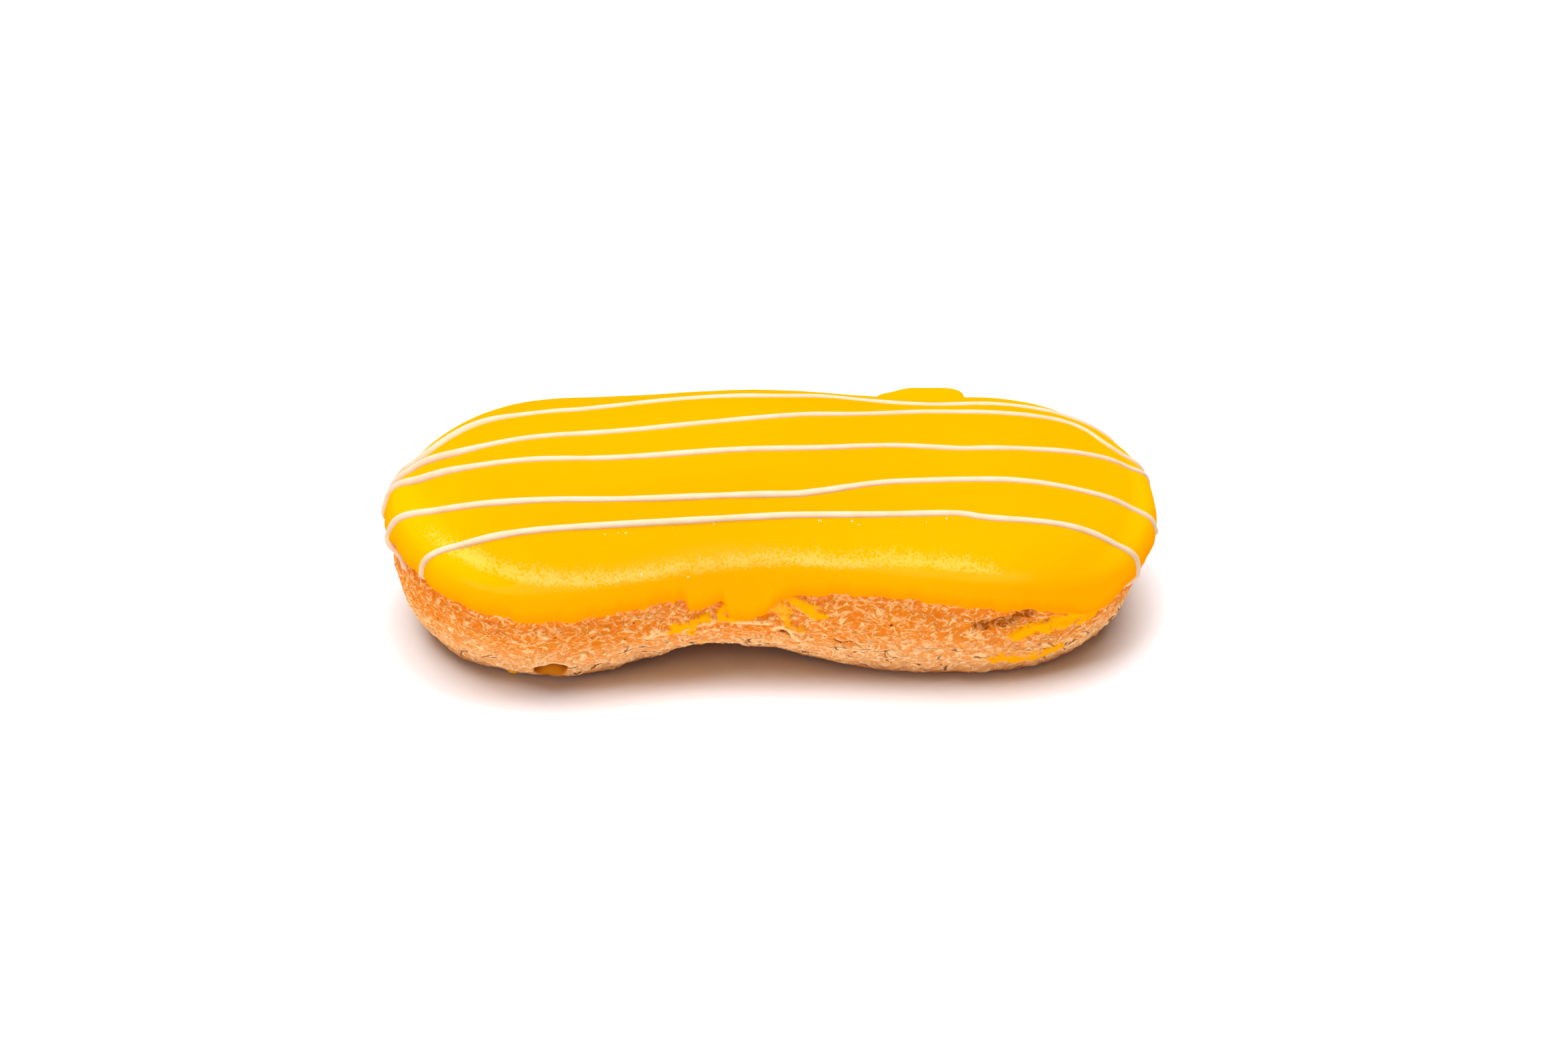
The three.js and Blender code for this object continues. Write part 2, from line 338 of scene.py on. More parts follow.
@dataclass(frozen=True)
class LoafForm:
    """The pastry's form: a straight spine with a lobe round each end, and a pinch at the front."""

    half_spine: float = 36.0
    end_reach: float = 33.4
    front_reach: float = 29.1
    back_reach: float = 28.7
    waist_x: float = -10.3
    waist_width: float = 23.8
    waist_front: float = 4.0
    waist_back: float = 1.5
    waist_tuck: float = 5.8
    lobe_power: float = 2.2
    crest_left: float = 36.8
    crest_middle: float = 38.5
    crest_right: float = 32.7
    crest_width: float = 26.0
    crest_easing: float = 6.0
    widest_height: float = 15.6
    crown_flatness: float = 0.68
    shoulder_steepness: float = 0.45
    square_from: float = -6.0
    square_to: float = 34.0
    square_crown: float = 0.05
    square_shoulder: float = 0.25
    belly_steepness: float = 0.29
    foot_share: float = 0.77
    foot_roundness: float = 0.45
    stand_height: float = 3.0
    stand_width: float = 16.7
    flat_share: float = 0.5

    def rays(self, x: Array, angle: Array) -> Rays:
        """Rays from points of the spine.

        Args:
            x: Where on the spine they start.
            angle: Their direction in plan, in radians from +X.

        Returns:
            The rays, each as long as the pastry is wide there.
        """
        dx, dy = np.cos(angle), np.sin(angle)
        pinch = swell(x - self.waist_x, self.waist_width)
        front = self.front_reach - self.waist_front * pinch
        back = self.back_reach - self.waist_back * pinch
        side = np.where(dy < 0, front, back)
        total = (np.abs(dx) / self.end_reach) ** self.lobe_power + (np.abs(dy) / side) ** self.lobe_power
        return Rays(x, dx, dy, total ** (-1.0 / self.lobe_power))

    def rays_at(self, turn: Array) -> Rays:
        """Rays at turns round the plan.

        Args:
            turn: 0 to 1 along the front from the left, then to 2 round the right end, to 3 along the back and to 4
                round the left end.

        Returns:
            The rays.
        """
        quarter = np.clip(np.floor(turn), 0, 3)
        part = turn - quarter
        along = self.half_spine * (2.0 * part - 1.0)
        x = np.choose(quarter.astype(int), [along, self.half_spine, -along, -self.half_spine])
        swing = np.choose(quarter.astype(int), [-0.5, part - 0.5, 0.5, part + 0.5])
        return self.rays(x, math.pi * swing)

    def turn_of(self, x: Array, angle: Array) -> Array:
        """Turns of rays from points of the spine.

        Args:
            x: Where on the spine they start.
            angle: Their direction in plan, in radians from +X.

        Returns:
            A turn from 0 to 4 for each ray.
        """
        part = (x / self.half_spine + 1.0) / 2.0
        side = np.where(angle < 0, part, 3.0 - part)
        right = 1.5 + angle / math.pi
        left = 2.5 + np.mod(angle, 2.0 * math.pi) / math.pi
        return np.where(x >= self.half_spine, right, np.where(x <= -self.half_spine, left, side))

    def crest(self, x: Array) -> Array:
        """Height of the pastry's top over its spine, level at the spine's ends.

        Args:
            x: Where on the spine.

        Returns:
            The height at each place.
        """
        n = self.crest_easing
        eased = x * (1.0 - np.abs(x / self.half_spine) ** n / (n + 1.0)) * (n + 1.0) / n
        rise = smoothstep(eased, -self.half_spine, self.half_spine)
        lobes = self.crest_left + (self.crest_right - self.crest_left) * rise
        middle = self.crest_middle - (self.crest_left + self.crest_right) / 2.0
        return lobes + middle * swell(eased, self.crest_width)

    def surface(self, rays: Rays, v: Array, lift: Array | float) -> Array:
        """Points on the pastry.

        Args:
            rays: Where round the eclair.
            v: Where on the section.
            lift: How far outside the bare pastry.

        Returns:
            The points in millimetres, with a last axis of 3.
        """
        top = self.crest(rays.x)
        front = smoothstep(-rays.dy, 0.0, 1.0)
        square = smoothstep(rays.x, self.square_from, self.square_to) * front
        crown = self.crown_flatness + self.square_crown * square
        shoulder = self.shoulder_steepness + self.square_shoulder * square
        tuck = self.waist_tuck * swell(rays.x - self.waist_x, self.waist_width) * front
        foot = self.foot_share * rays.reach - tuck
        stand = self.stand_height * swell(rays.x - self.waist_x, self.stand_width) * front
        wide = self.widest_height
        upper = v <= 1.0
        t = np.where(upper, v, np.clip(v - 1.0, 0.0, 1.0))
        out = [
            np.where(upper, 0.0, rays.reach),
            np.where(upper, crown * rays.reach, rays.reach),
            np.where(upper, rays.reach, foot + (rays.reach - foot) * self.foot_roundness),
            np.where(upper, rays.reach, foot),
        ]
        up = [
            np.where(upper, top, wide),
            np.where(upper, top, wide + (stand - wide) * self.belly_steepness),
            np.where(upper, wide + (top - wide) * shoulder, stand),
            np.where(upper, wide, stand),
        ]
        flat_out, slope_out = cubic(out, t)
        flat_up, slope_up = cubic(up, t)
        under = np.clip(3.0 - v, 0.0, 1.0)
        below = v > 2.0
        flat_out = np.where(below, foot * under, flat_out)
        flat_up = np.where(below, stand * smoothstep(under, self.flat_share, 1.0), flat_up)
        length = np.hypot(slope_out, slope_up) + 1e-9
        out_lift = np.where(below, 0.0, -slope_up / length) * lift
        up_lift = np.where(below, -1.0, slope_out / length) * lift
        reach = flat_out + out_lift
        return np.stack([rays.x + rays.dx * reach, rays.dy * reach, flat_up + up_lift], axis=-1)

    def columns(self, spacing: float) -> Array:
        """Turns of a mesh's columns.

        Args:
            spacing: About how far apart they are on the widest line.

        Returns:
            The turns, from 0 up to below 4.
        """
        side = round(2.0 * self.half_spine / spacing)
        end = round(math.pi * self.front_reach / spacing)
        counts = (side, end, side, end)
        return np.concatenate([quarter + np.arange(n) / n for quarter, n in enumerate(counts)])

    def from_flat(self, points: Array) -> tuple[Rays, Array, Array]:
        """Places on the form for points of the rolled-out top.

        Args:
            points: The flat points, one row each.

        Returns:
            Their rays, heights v and turns.
        """
        x = np.clip(points[:, 0], -self.half_spine, self.half_spine)
        beyond = points[:, 0] - x
        angle = np.arctan2(points[:, 1], beyond)
        rays = self.rays(x, angle)
        return rays, np.hypot(beyond, points[:, 1]) / rays.reach, self.turn_of(x, angle)


@dataclass(frozen=True)
class PouredEdge:
    """How far down the icing reaches."""

    usual: float = 0.87
    sags: tuple[Sag, ...] = (
        Sag(0.5, 0.36, -0.095),
        Sag(0.8, 0.14, -0.035),
        Sag(1.22, 0.12, 0.08),
        Sag(2.3, 0.25, 0.05),
        Sag(2.75, 0.2, -0.05),
        Sag(3.2, 0.15, 0.05),
        Sag(3.62, 0.17, -0.11),
        Sag(3.93, 0.06, 0.015),
    )
    tongue: Sag = Sag(1.225, 0.05, 0.06)
    waist: tuple[tuple[float, float], ...] = (
        (0.16, 0.83), (0.209, 0.82), (0.247, 0.808), (0.272, 0.81), (0.278, 0.848), (0.283, 0.892), (0.303, 0.888),
        (0.316, 0.871), (0.335, 0.854), (0.348, 0.834), (0.364, 0.83), (0.371, 0.855), (0.375, 0.915), (0.38, 0.965),
        (0.387, 0.978), (0.411, 0.965), (0.443, 0.955), (0.449, 0.934), (0.471, 0.916), (0.488, 0.862), (0.503, 0.83),
        (0.52, 0.81), (0.541, 0.797), (0.589, 0.791), (0.632, 0.793),
    )
    waist_easing: float = 0.04
    raggedness: float = 0.005
    waves: tuple[int, int] = (24, 190)
    wave_count: int = 40
    wave_fade: float = 0.6
    seed: int = 11

    def wavy(self, turn: Array) -> Array:
        """The edge without its drips.

        Args:
            turn: Where round the eclair.

        Returns:
            The height v of the edge at each turn.
        """
        v = np.full_like(turn, self.usual)
        for sag in self.sags:
            v += sag.drop * swell(shortest_turn(turn - sag.turn), sag.width)
        return v

    def ragged(self, turn: Array) -> Array:
        """Small unevenness of the edge, the same whatever the mesh's columns are.

        Args:
            turn: Where round the eclair.

        Returns:
            How far the edge moves at each turn.
        """
        draw = np.random.default_rng(self.seed)
        low, high = self.waves
        counts = draw.integers(low, high, self.wave_count)
        phases = draw.uniform(0.0, 2.0 * math.pi, len(counts))
        waves = np.cos(np.outer(turn, counts) * math.pi / 2.0 + phases) * (low / counts) ** self.wave_fade
        return self.raggedness * waves.sum(axis=1) / 2.0

    def at(self, turn: Array) -> Array:
        """The edge with its drips and unevenness.

        Args:
            turn: Where round the eclair.

        Returns:
            The height v of the edge at each turn.
        """
        v = self.wavy(turn) + self.tongue.drop * plateau(turn - self.tongue.turn, self.tongue.width)
        turns, heights = zip(*self.waist)
        start, end, ease = turns[0], turns[-1], self.waist_easing
        inside = smoothstep(turn, start, start + ease) * (1.0 - smoothstep(turn, end - ease, end))
        return v + inside * (np.interp(turn, turns, heights) - v) + self.ragged(turn)


class Mark(Enum):
    """What a stroke on the crust is."""

    SMEAR = "smear"
    TEAR = "tear"
    CRACK = "crack"
    FLAKE = "flake"


@dataclass(frozen=True)
class Stroke:
    """A mark along points of the rolled-out form."""

    mark: Mark
    half_width: float
    points: tuple[FlatPoint, ...]
    opacity: float = 1.0


@dataclass(frozen=True)
class ChouxCrust:
    """Baked choux: the paste rises and tears, so its ridges stay pale and its hollows toast orange-brown; shade is
    painted into its creases, cracks, pinholes and burst bubble, and highlight onto the cracks' lips.
    """

    strand_high: str = "#FFD696"
    strand_low: str = "#FFDCAA"
    flesh_high: str = "#EC8A20"
    flesh_low: str = "#EA9840"
    toast: str = "#E67808"
    crease_shade: str = "#C2600E"
    # Darker towards the foot: partly a browned bottom, partly painted shade under the belly
    base: str = "#A0520E"
    # Colour of the tears, and of the painted contact shade in specks right under the icing's edge
    tear: str = "#9C4C0A"
    recess_shade: str = "#863A04"
    bubble_inside_and_shade: str = "#DC8A1C"
    icing: str = "#FFB000"
    curl_size: float = 1.7
    curl_count: float = 6.0
    patch_size: float = 1.5
    crack_size: float = 3.6
    crack_gap: float = 3.5
    crack_bend: float = 2.4
    crack_winding: float = 1.1
    pit_spacing: float = 1.9
    grain: float = 0.3
    strand_height: float = 0.12
    roughness: float = 0.6
    smear_roughness: float = 0.3
    ior: float = 1.45

    def sources(self, tree: bpy.types.NodeTree) -> dict[str, Socket]:
        """Reads the mesh's attributes and makes the noises that several patterns follow.

        Args:
            tree: The material's tree.

        Returns:
            The sockets, by name.
        """
        names = ("low", "base", "raised", "ring", "above", "bare", "cover", "smear_line", "tear_line", "crack_line")
        known = {
            name: add(tree, "ShaderNodeAttribute", output="Fac", attribute_name=name) for name in names
        }
        known["way"] = add(tree, "ShaderNodeAttribute", output="Vector", attribute_name="way")
        place = add(tree, "ShaderNodeTexCoord", output="Object")
        fine = {"Vector": place, "Scale": 1.0 / (self.grain * MM), "Detail": 2.0}
        grains = add(tree, "ShaderNodeTexNoise", fine)
        known["uneven"] = add(tree, "ShaderNodeMapRange", [grains, 0.25, 0.75, -0.3, 0.3])
        patch = {"Vector": known["way"], "Scale": 1.0 / self.patch_size, "Detail": 3.0, "Roughness": 0.55}
        known["patches"] = add(tree, "ShaderNodeTexNoise", patch)
        known["coarse"] = add(tree, "ShaderNodeMapRange", [known["patches"], 0.3, 0.7, -0.45, 0.45])
        return known

    def strands(self, tree: bpy.types.NodeTree, known: Mapping[str, Socket]) -> tuple[Socket, Socket, Socket]:
        """Curly strands: thin level lines of a slow noise, strong in some patches and lost in others.

        Args:
            tree: The material's tree.
            known: The sockets that the patterns follow.

        Returns:
            The wave that the strands ride on, the strands and the painted shade in the creases beside them.
        """
        curl = {"Scale": 1.0 / self.curl_size, "Detail": 1.5, "Roughness": 0.5, "Distortion": 0.6}
        curls = add(tree, "ShaderNodeTexNoise", {"Vector": known["way"], **curl})
        levels = add(tree, "ShaderNodeMath", [curls, self.curl_count], **MULTIPLY)
        wave = add(tree, "ShaderNodeMath", [levels, 1.0], operation="PINGPONG")
        strength = add(tree, "ShaderNodeMapRange", [known["patches"], 0.34, 0.62, 0.12, 0.9])
        thread = add(tree, "ShaderNodeMapRange", [wave, 0.4, 1.0, 0.0, 1.0], **SMOOTH)
        strand = add(tree, "ShaderNodeMath", [thread, strength], **MULTIPLY)
        strand = add(tree, "ShaderNodeMath", [known["uneven"], 0.5, strand], **MULTIPLY_ADD)
        paler = add(tree, "ShaderNodeMapRange", [known["low"], 0.3, 0.9, 0.0, 0.25])
        strand = add(tree, "ShaderNodeMath", [strand, paler], operation="ADD")
        strand = add(tree, "ShaderNodeMath", [strand, known["raised"]], operation="MAXIMUM", use_clamp=True)
        # Painted shade in the creases just beside each strand
        rise = add(tree, "ShaderNodeMapRange", [wave, 0.02, 0.2, 0.0, 0.55], **SMOOTH)
        fall = add(tree, "ShaderNodeMapRange", [wave, 0.25, 0.5, 1.0, 0.0], **SMOOTH)
        crease_shade = add(tree, "ShaderNodeMath", [rise, fall], **MULTIPLY)
        crease_shade = add(tree, "ShaderNodeMath", [crease_shade, strength], **MULTIPLY)
        return wave, strand, crease_shade

    def cracks(self, tree: bpy.types.NodeTree, known: Mapping[str, Socket]) -> tuple[Socket, Socket]:
        """Thin winding cracks on the lower crust: slits of painted shade with lips of painted highlight.

        Args:
            tree: The material's tree.
            known: The sockets that the patterns follow.

        Returns:
            The cracks' painted shade and the painted highlight on their pale lips.
        """
        drawn = add(tree, "ShaderNodeVectorMath", {0: known["way"], 1: LENGTHWISE}, **MULTIPLY)
        winding = {"Vector": known["way"], "Scale": 1.0 / self.crack_bend, "Detail": 2.0}
        bends = add(tree, "ShaderNodeTexNoise", winding, output="Color")
        turned = {0: bends, 1: (self.crack_winding,) * 3, 2: drawn}
        bent = add(tree, "ShaderNodeVectorMath", turned, **MULTIPLY_ADD)
        split = {"Vector": bent, "Scale": 1.0 / self.crack_size}
        away = add(tree, "ShaderNodeTexVoronoi", split, output="Distance", feature="DISTANCE_TO_EDGE")
        # Painted shade in each slit and painted highlight along its lips
        slits = add(tree, "ShaderNodeMapRange", [away, 0.012, 0.05, 0.95, 0.0], **SMOOTH)
        lips = add(tree, "ShaderNodeMapRange", [away, 0.05, 0.2, 0.8, 0.0], **SMOOTH)
        gap = {"Vector": known["way"], "Scale": 1.0 / self.crack_gap, "Detail": 1.0}
        gaps = add(tree, "ShaderNodeTexNoise", gap)
        some = add(tree, "ShaderNodeMapRange", [gaps, 0.52, 0.58, 0.0, 1.0], **SMOOTH)
        lower = add(tree, "ShaderNodeMapRange", [known["low"], 0.35, 0.6, 0.0, 1.0])
        cracked = add(tree, "ShaderNodeMath", [some, lower], **MULTIPLY)
        slit = add(tree, "ShaderNodeMath", [slits, cracked], **MULTIPLY)
        lip = add(tree, "ShaderNodeMath", [lips, cracked], **MULTIPLY)
        return slit, lip

    def pinholes(self, tree: bpy.types.NodeTree, known: Mapping[str, Socket]) -> Socket:
        """Pinholes as spots of painted shade, some large and most of them missing.

        Args:
            tree: The material's tree.
            known: The sockets that the patterns follow.

        Returns:
            The pinholes' painted shade.
        """
        cells = {"Vector": known["way"], "Scale": 1.0 / self.pit_spacing}
        near = add(tree, "ShaderNodeTexVoronoi", cells, output="Distance")
        draw = add(tree, "ShaderNodeTexVoronoi", cells, output="Color")
        lot = add(tree, "ShaderNodeSeparateColor", [draw], output="Red")
        extent = add(tree, "ShaderNodeMapRange", [lot, 0.6, 1.0, 0.0, 0.2])
        gap = add(tree, "ShaderNodeMath", [extent, near], operation="SUBTRACT")
        return add(tree, "ShaderNodeMapRange", [gap, 0.0, 0.07, 0.0, 1.0], **SMOOTH)

    def bake(self, tree: bpy.types.NodeTree, known: Mapping[str, Socket], crease_shade: Socket, pale: Socket) -> Socket:
        """Colours the crust from its baked flesh to toasted blotches, which are mostly near the icing, painted shade
        in the creases, and strands.

        Args:
            tree: The material's tree.
            known: The sockets that the patterns follow.
            crease_shade: The creases beside the strands.
            pale: The strands and the lips of the cracks.

        Returns:
            The colour.
        """
        upper = add(tree, "ShaderNodeMapRange", [known["low"], 0.1, 0.75, 0.0, 0.12])
        reach = add(tree, "ShaderNodeMath", [known["patches"], upper], operation="ADD")
        blotch = add(tree, "ShaderNodeMapRange", [reach, 0.36, 0.58, 0.85, 0.0], **SMOOTH)
        flesh = {SHARE: known["low"], UNDER: linear(self.flesh_high), OVER: linear(self.flesh_low)}
        strand = {SHARE: known["low"], UNDER: linear(self.strand_high), OVER: linear(self.strand_low)}
        colour = add(tree, "ShaderNodeMix", flesh, **COLOUR_MIX)
        palest = add(tree, "ShaderNodeMix", strand, **COLOUR_MIX)
        for share, hue in ((blotch, linear(self.toast)), (crease_shade, linear(self.crease_shade)), (pale, palest)):
            colour = add(tree, "ShaderNodeMix", {SHARE: share, UNDER: colour, OVER: hue}, **COLOUR_MIX)
        return colour

    def marks(self, tree: bpy.types.NodeTree, known: Mapping[str, Socket], wave: Socket) -> dict[str, Socket]:
        """The drawn marks with ragged outlines, and the dark specks of painted contact shade right under the icing's
        edge.

        Args:
            tree: The material's tree.
            known: The sockets that the patterns follow.
            wave: The wave that the strands ride on.

        Returns:
            How strong each kind of mark is, by name.
        """
        rag = add(tree, "ShaderNodeMath", [known["uneven"], 0.6, known["coarse"]], **MULTIPLY_ADD)
        marks = {}
        for name, edge, start, end in (
            ("smear", rag, 0.3, 0.7),
            ("tear", rag, 0.36, 0.6),
            ("crack", known["uneven"], 0.5, 0.8),
        ):
            ragged = add(tree, "ShaderNodeMath", [known[name + "_line"], edge], operation="ADD")
            marks[name] = add(tree, "ShaderNodeMapRange", [ragged, start, end, 0.0, 1.0], **SMOOTH)
        marks["smear"] = add(tree, "ShaderNodeMath", [marks["smear"], known["cover"]], **MULTIPLY)
        streak = add(tree, "ShaderNodeMapRange", [wave, 0.3, 0.9, 1.0, 0.6], **SMOOTH)
        marks["tear"] = add(tree, "ShaderNodeMath", [marks["tear"], streak], **MULTIPLY)
        # Painted contact shade right under the icing's edge, broken into specks
        under = add(tree, "ShaderNodeMapRange", [known["low"], 0.0, 0.006, 1.0, 0.0])
        under = add(tree, "ShaderNodeMath", [under, 0.8, known["coarse"]], **MULTIPLY_ADD)
        marks["speck"] = add(tree, "ShaderNodeMapRange", [under, 0.55, 1.0, 0.0, 0.7], **SMOOTH)
        return marks

    def material(self) -> bpy.types.Material:
        """Makes the crust's material, patterned along the way that its relief was drawn out.

        Returns:
            The material, which reads the attributes that the pastry's mesh carries.
        """
        material, tree = new_material("baked_choux_crust")
        known = self.sources(tree)
        wave, strand, crease_shade = self.strands(tree, known)
        slit, lip = self.cracks(tree, known)
        pale = add(tree, "ShaderNodeMath", [strand, lip], operation="MAXIMUM")
        colour = self.bake(tree, known, crease_shade, pale)
        marks = self.marks(tree, known, wave)
        # Painted shade in the pinholes, the cracks and the drawn cracks
        dark = add(tree, "ShaderNodeMath", [self.pinholes(tree, known), slit], operation="MAXIMUM")
        dark = add(tree, "ShaderNodeMath", [dark, known["bare"]], **MULTIPLY)
        dark = add(tree, "ShaderNodeMath", [dark, marks["crack"]], operation="MAXIMUM")
        # The burst bubble: brown inside with painted shade, and a painted shadow darkest under its upper edge
        bubble_inside_and_shade = add(tree, "ShaderNodeMapRange", [known["ring"], 0.9, 1.04, 1.0, 0.0], **SMOOTH)
        roof_shade = add(tree, "ShaderNodeMapRange", [known["above"], -0.95, 0.0, 0.0, 0.95], **SMOOTH)
        roof_shade = add(tree, "ShaderNodeMath", [roof_shade, bubble_inside_and_shade], **MULTIPLY)
        for share, hue in (
            # Darker towards the foot: partly a browned bottom, partly painted shade under the belly
            (known["base"], self.base),
            # Painted contact shade in specks right under the icing's edge
            (marks["speck"], self.tear),
            (marks["tear"], self.tear),
            (dark, self.recess_shade),
            (bubble_inside_and_shade, self.bubble_inside_and_shade),
            (roof_shade, self.recess_shade),
            (marks["smear"], self.icing),
        ):
            shades = {SHARE: share, UNDER: colour, OVER: linear(hue)}
            colour = add(tree, "ShaderNodeMix", shades, **COLOUR_MIX)
        # Strands stand up a little, except where a smear covers them
        level = add(tree, "ShaderNodeMath", [dark, -0.2, pale], **MULTIPLY_ADD)
        level = add(tree, "ShaderNodeMath", [level, known["bare"]], **MULTIPLY)
        calm = add(tree, "ShaderNodeMapRange", [marks["smear"], 0.0, 1.0, 1.0, 0.25])
        level = add(tree, "ShaderNodeMath", [level, calm], **MULTIPLY)
        bump = add(tree, "ShaderNodeBump", {"Distance": self.strand_height * MM, "Height": level})
        sheen = [marks["smear"], 0.0, 1.0, self.roughness, self.smear_roughness]
        rough = add(tree, "ShaderNodeMapRange", sheen)
        shader = add(tree, "ShaderNodeBsdfPrincipled", {
            "Base Color": colour, "Roughness": rough, "IOR": self.ior, "Normal": bump, "Specular IOR Level": 0.0,
        })
        add(tree, "ShaderNodeOutputMaterial", {"Surface": shader})
        return material


@dataclass(frozen=True)
class SugarIcing:
    """Poured fondant icing, dyed yellow: a grainy glossy skin over it, deeper orange where it runs thin, a lighter
    yellow painted on its steep front slope for light, and a painted highlight of pale grains along its bend.
    """

    body: str = "#F39A00"
    # Lighter yellow painted on the steep front slope, standing in for light
    slope: str = "#FFAC00"
    rim: str = "#FF9A00"
    painted_glint: str = "#FFC04C"
    grain: float = 0.5
    grain_height: float = 0.05
    cluster: float = 3.2
    gloss: float = 0.008
    band_gloss: float = 0.04
    roughness: float = 0.5
    gloss_roughness: float = 0.12

    def material(self) -> bpy.types.Material:
        """Makes the icing's material.

        Returns:
            The material.
        """
        material, tree = new_material("yellow_fondant_icing")
        place = add(tree, "ShaderNodeTexCoord", output="Object")
        slope, rim, band = (
            add(tree, "ShaderNodeAttribute", output="Fac", attribute_name=name) for name in ("slope", "rim", "band")
        )
        grains = {"Vector": place, "Scale": 1.0 / (self.grain * MM), "Detail": 1.5, "Roughness": 0.6}
        skin = add(tree, "ShaderNodeTexNoise", grains)
        coarse = {"Vector": place, "Scale": 1.0 / (self.cluster * MM), "Detail": 2.0}
        clusters = add(tree, "ShaderNodeTexNoise", coarse)
        # Painted highlight: pale grains along the bend where the front light's highlight falls, dense in the band's
        # middle, single ones at its border
        spread = add(tree, "ShaderNodeMapRange", [skin, 0.3, 0.7, -0.5, 0.5])
        gather = add(tree, "ShaderNodeMapRange", [clusters, 0.3, 0.7, -0.22, 0.22])
        thick = add(tree, "ShaderNodeMath", [spread, gather], operation="ADD")
        thick = add(tree, "ShaderNodeMath", [thick, band], operation="ADD")
        painted_glint = add(tree, "ShaderNodeMapRange", [thick, 0.4, 1.2, 0.0, 0.8], **SMOOTH)
        painted_glint = add(tree, "ShaderNodeMath", [painted_glint, band], **MULTIPLY)
        colour = linear(self.body)
        # Painted light: the front slope lighter yellow; then the rim deeper orange, and the painted highlight on top
        for share, hue in ((slope, self.slope), (rim, self.rim), (painted_glint, self.painted_glint)):
            shades = {SHARE: share, UNDER: colour, OVER: linear(hue)}
            colour = add(tree, "ShaderNodeMix", shades, **COLOUR_MIX)
        gloss = add(tree, "ShaderNodeMapRange", [painted_glint, 0.0, 1.0, self.gloss, self.band_gloss])
        bump = add(tree, "ShaderNodeBump", {"Distance": self.grain_height * MM, "Height": skin})
        shader = add(tree, "ShaderNodeBsdfPrincipled", {
            "Base Color": colour, "Roughness": self.roughness, "Specular IOR Level": 0.0,
            "Coat Weight": gloss, "Coat Roughness": self.gloss_roughness, "Coat Normal": bump,
        })
        add(tree, "ShaderNodeOutputMaterial", {"Surface": shader})
        return material


@dataclass(frozen=True)
class CreamDrizzle:
    """White chocolate let down with cream: satin, slightly see-through, and it dries a warm off-white."""

    thick: str = "#E0C6AC"
    thin: str = "#DCBE98"
    mottle: float = 2.5
    roughness: float = 0.5
    specular: float = 0.05
    ior: float = 1.46

    def material(self) -> bpy.types.Material:
        """Makes the drizzle's material.

        Returns:
            The material.
        """
        material, tree = new_material("cream_chocolate_drizzle")
        place = add(tree, "ShaderNodeTexCoord", output="Object")
        mottle = {"Vector": place, "Scale": 1.0 / (self.mottle * MM), "Detail": 2.0}
        patches = add(tree, "ShaderNodeTexNoise", mottle)
        thin = add(tree, "ShaderNodeMapRange", [patches, 0.35, 0.75, 0.0, 1.0])
        shades = {SHARE: thin, UNDER: linear(self.thick), OVER: linear(self.thin)}
        colour = add(tree, "ShaderNodeMix", shades, **COLOUR_MIX)
        shader = add(tree, "ShaderNodeBsdfPrincipled", {
            "Base Color": colour, "Roughness": self.roughness, "IOR": self.ior, "Specular IOR Level": self.specular,
        })
        add(tree, "ShaderNodeOutputMaterial", {"Surface": shader})
        return material


@dataclass(frozen=True)
class WhiteBoard:
    """Matt white studio board under the eclair."""

    colour: str = "#F3F5FB"
    roughness: float = 0.8

    def material(self) -> bpy.types.Material:
        """Makes the board's material.

        Returns:
            The material.
        """
        material, tree = new_material("matt_white_board")
        shader = add(tree, "ShaderNodeBsdfPrincipled", {
            "Base Color": linear(self.colour), "Roughness": self.roughness, "Specular IOR Level": 0.0,
        })
        add(tree, "ShaderNodeOutputMaterial", {"Surface": shader})
        return material


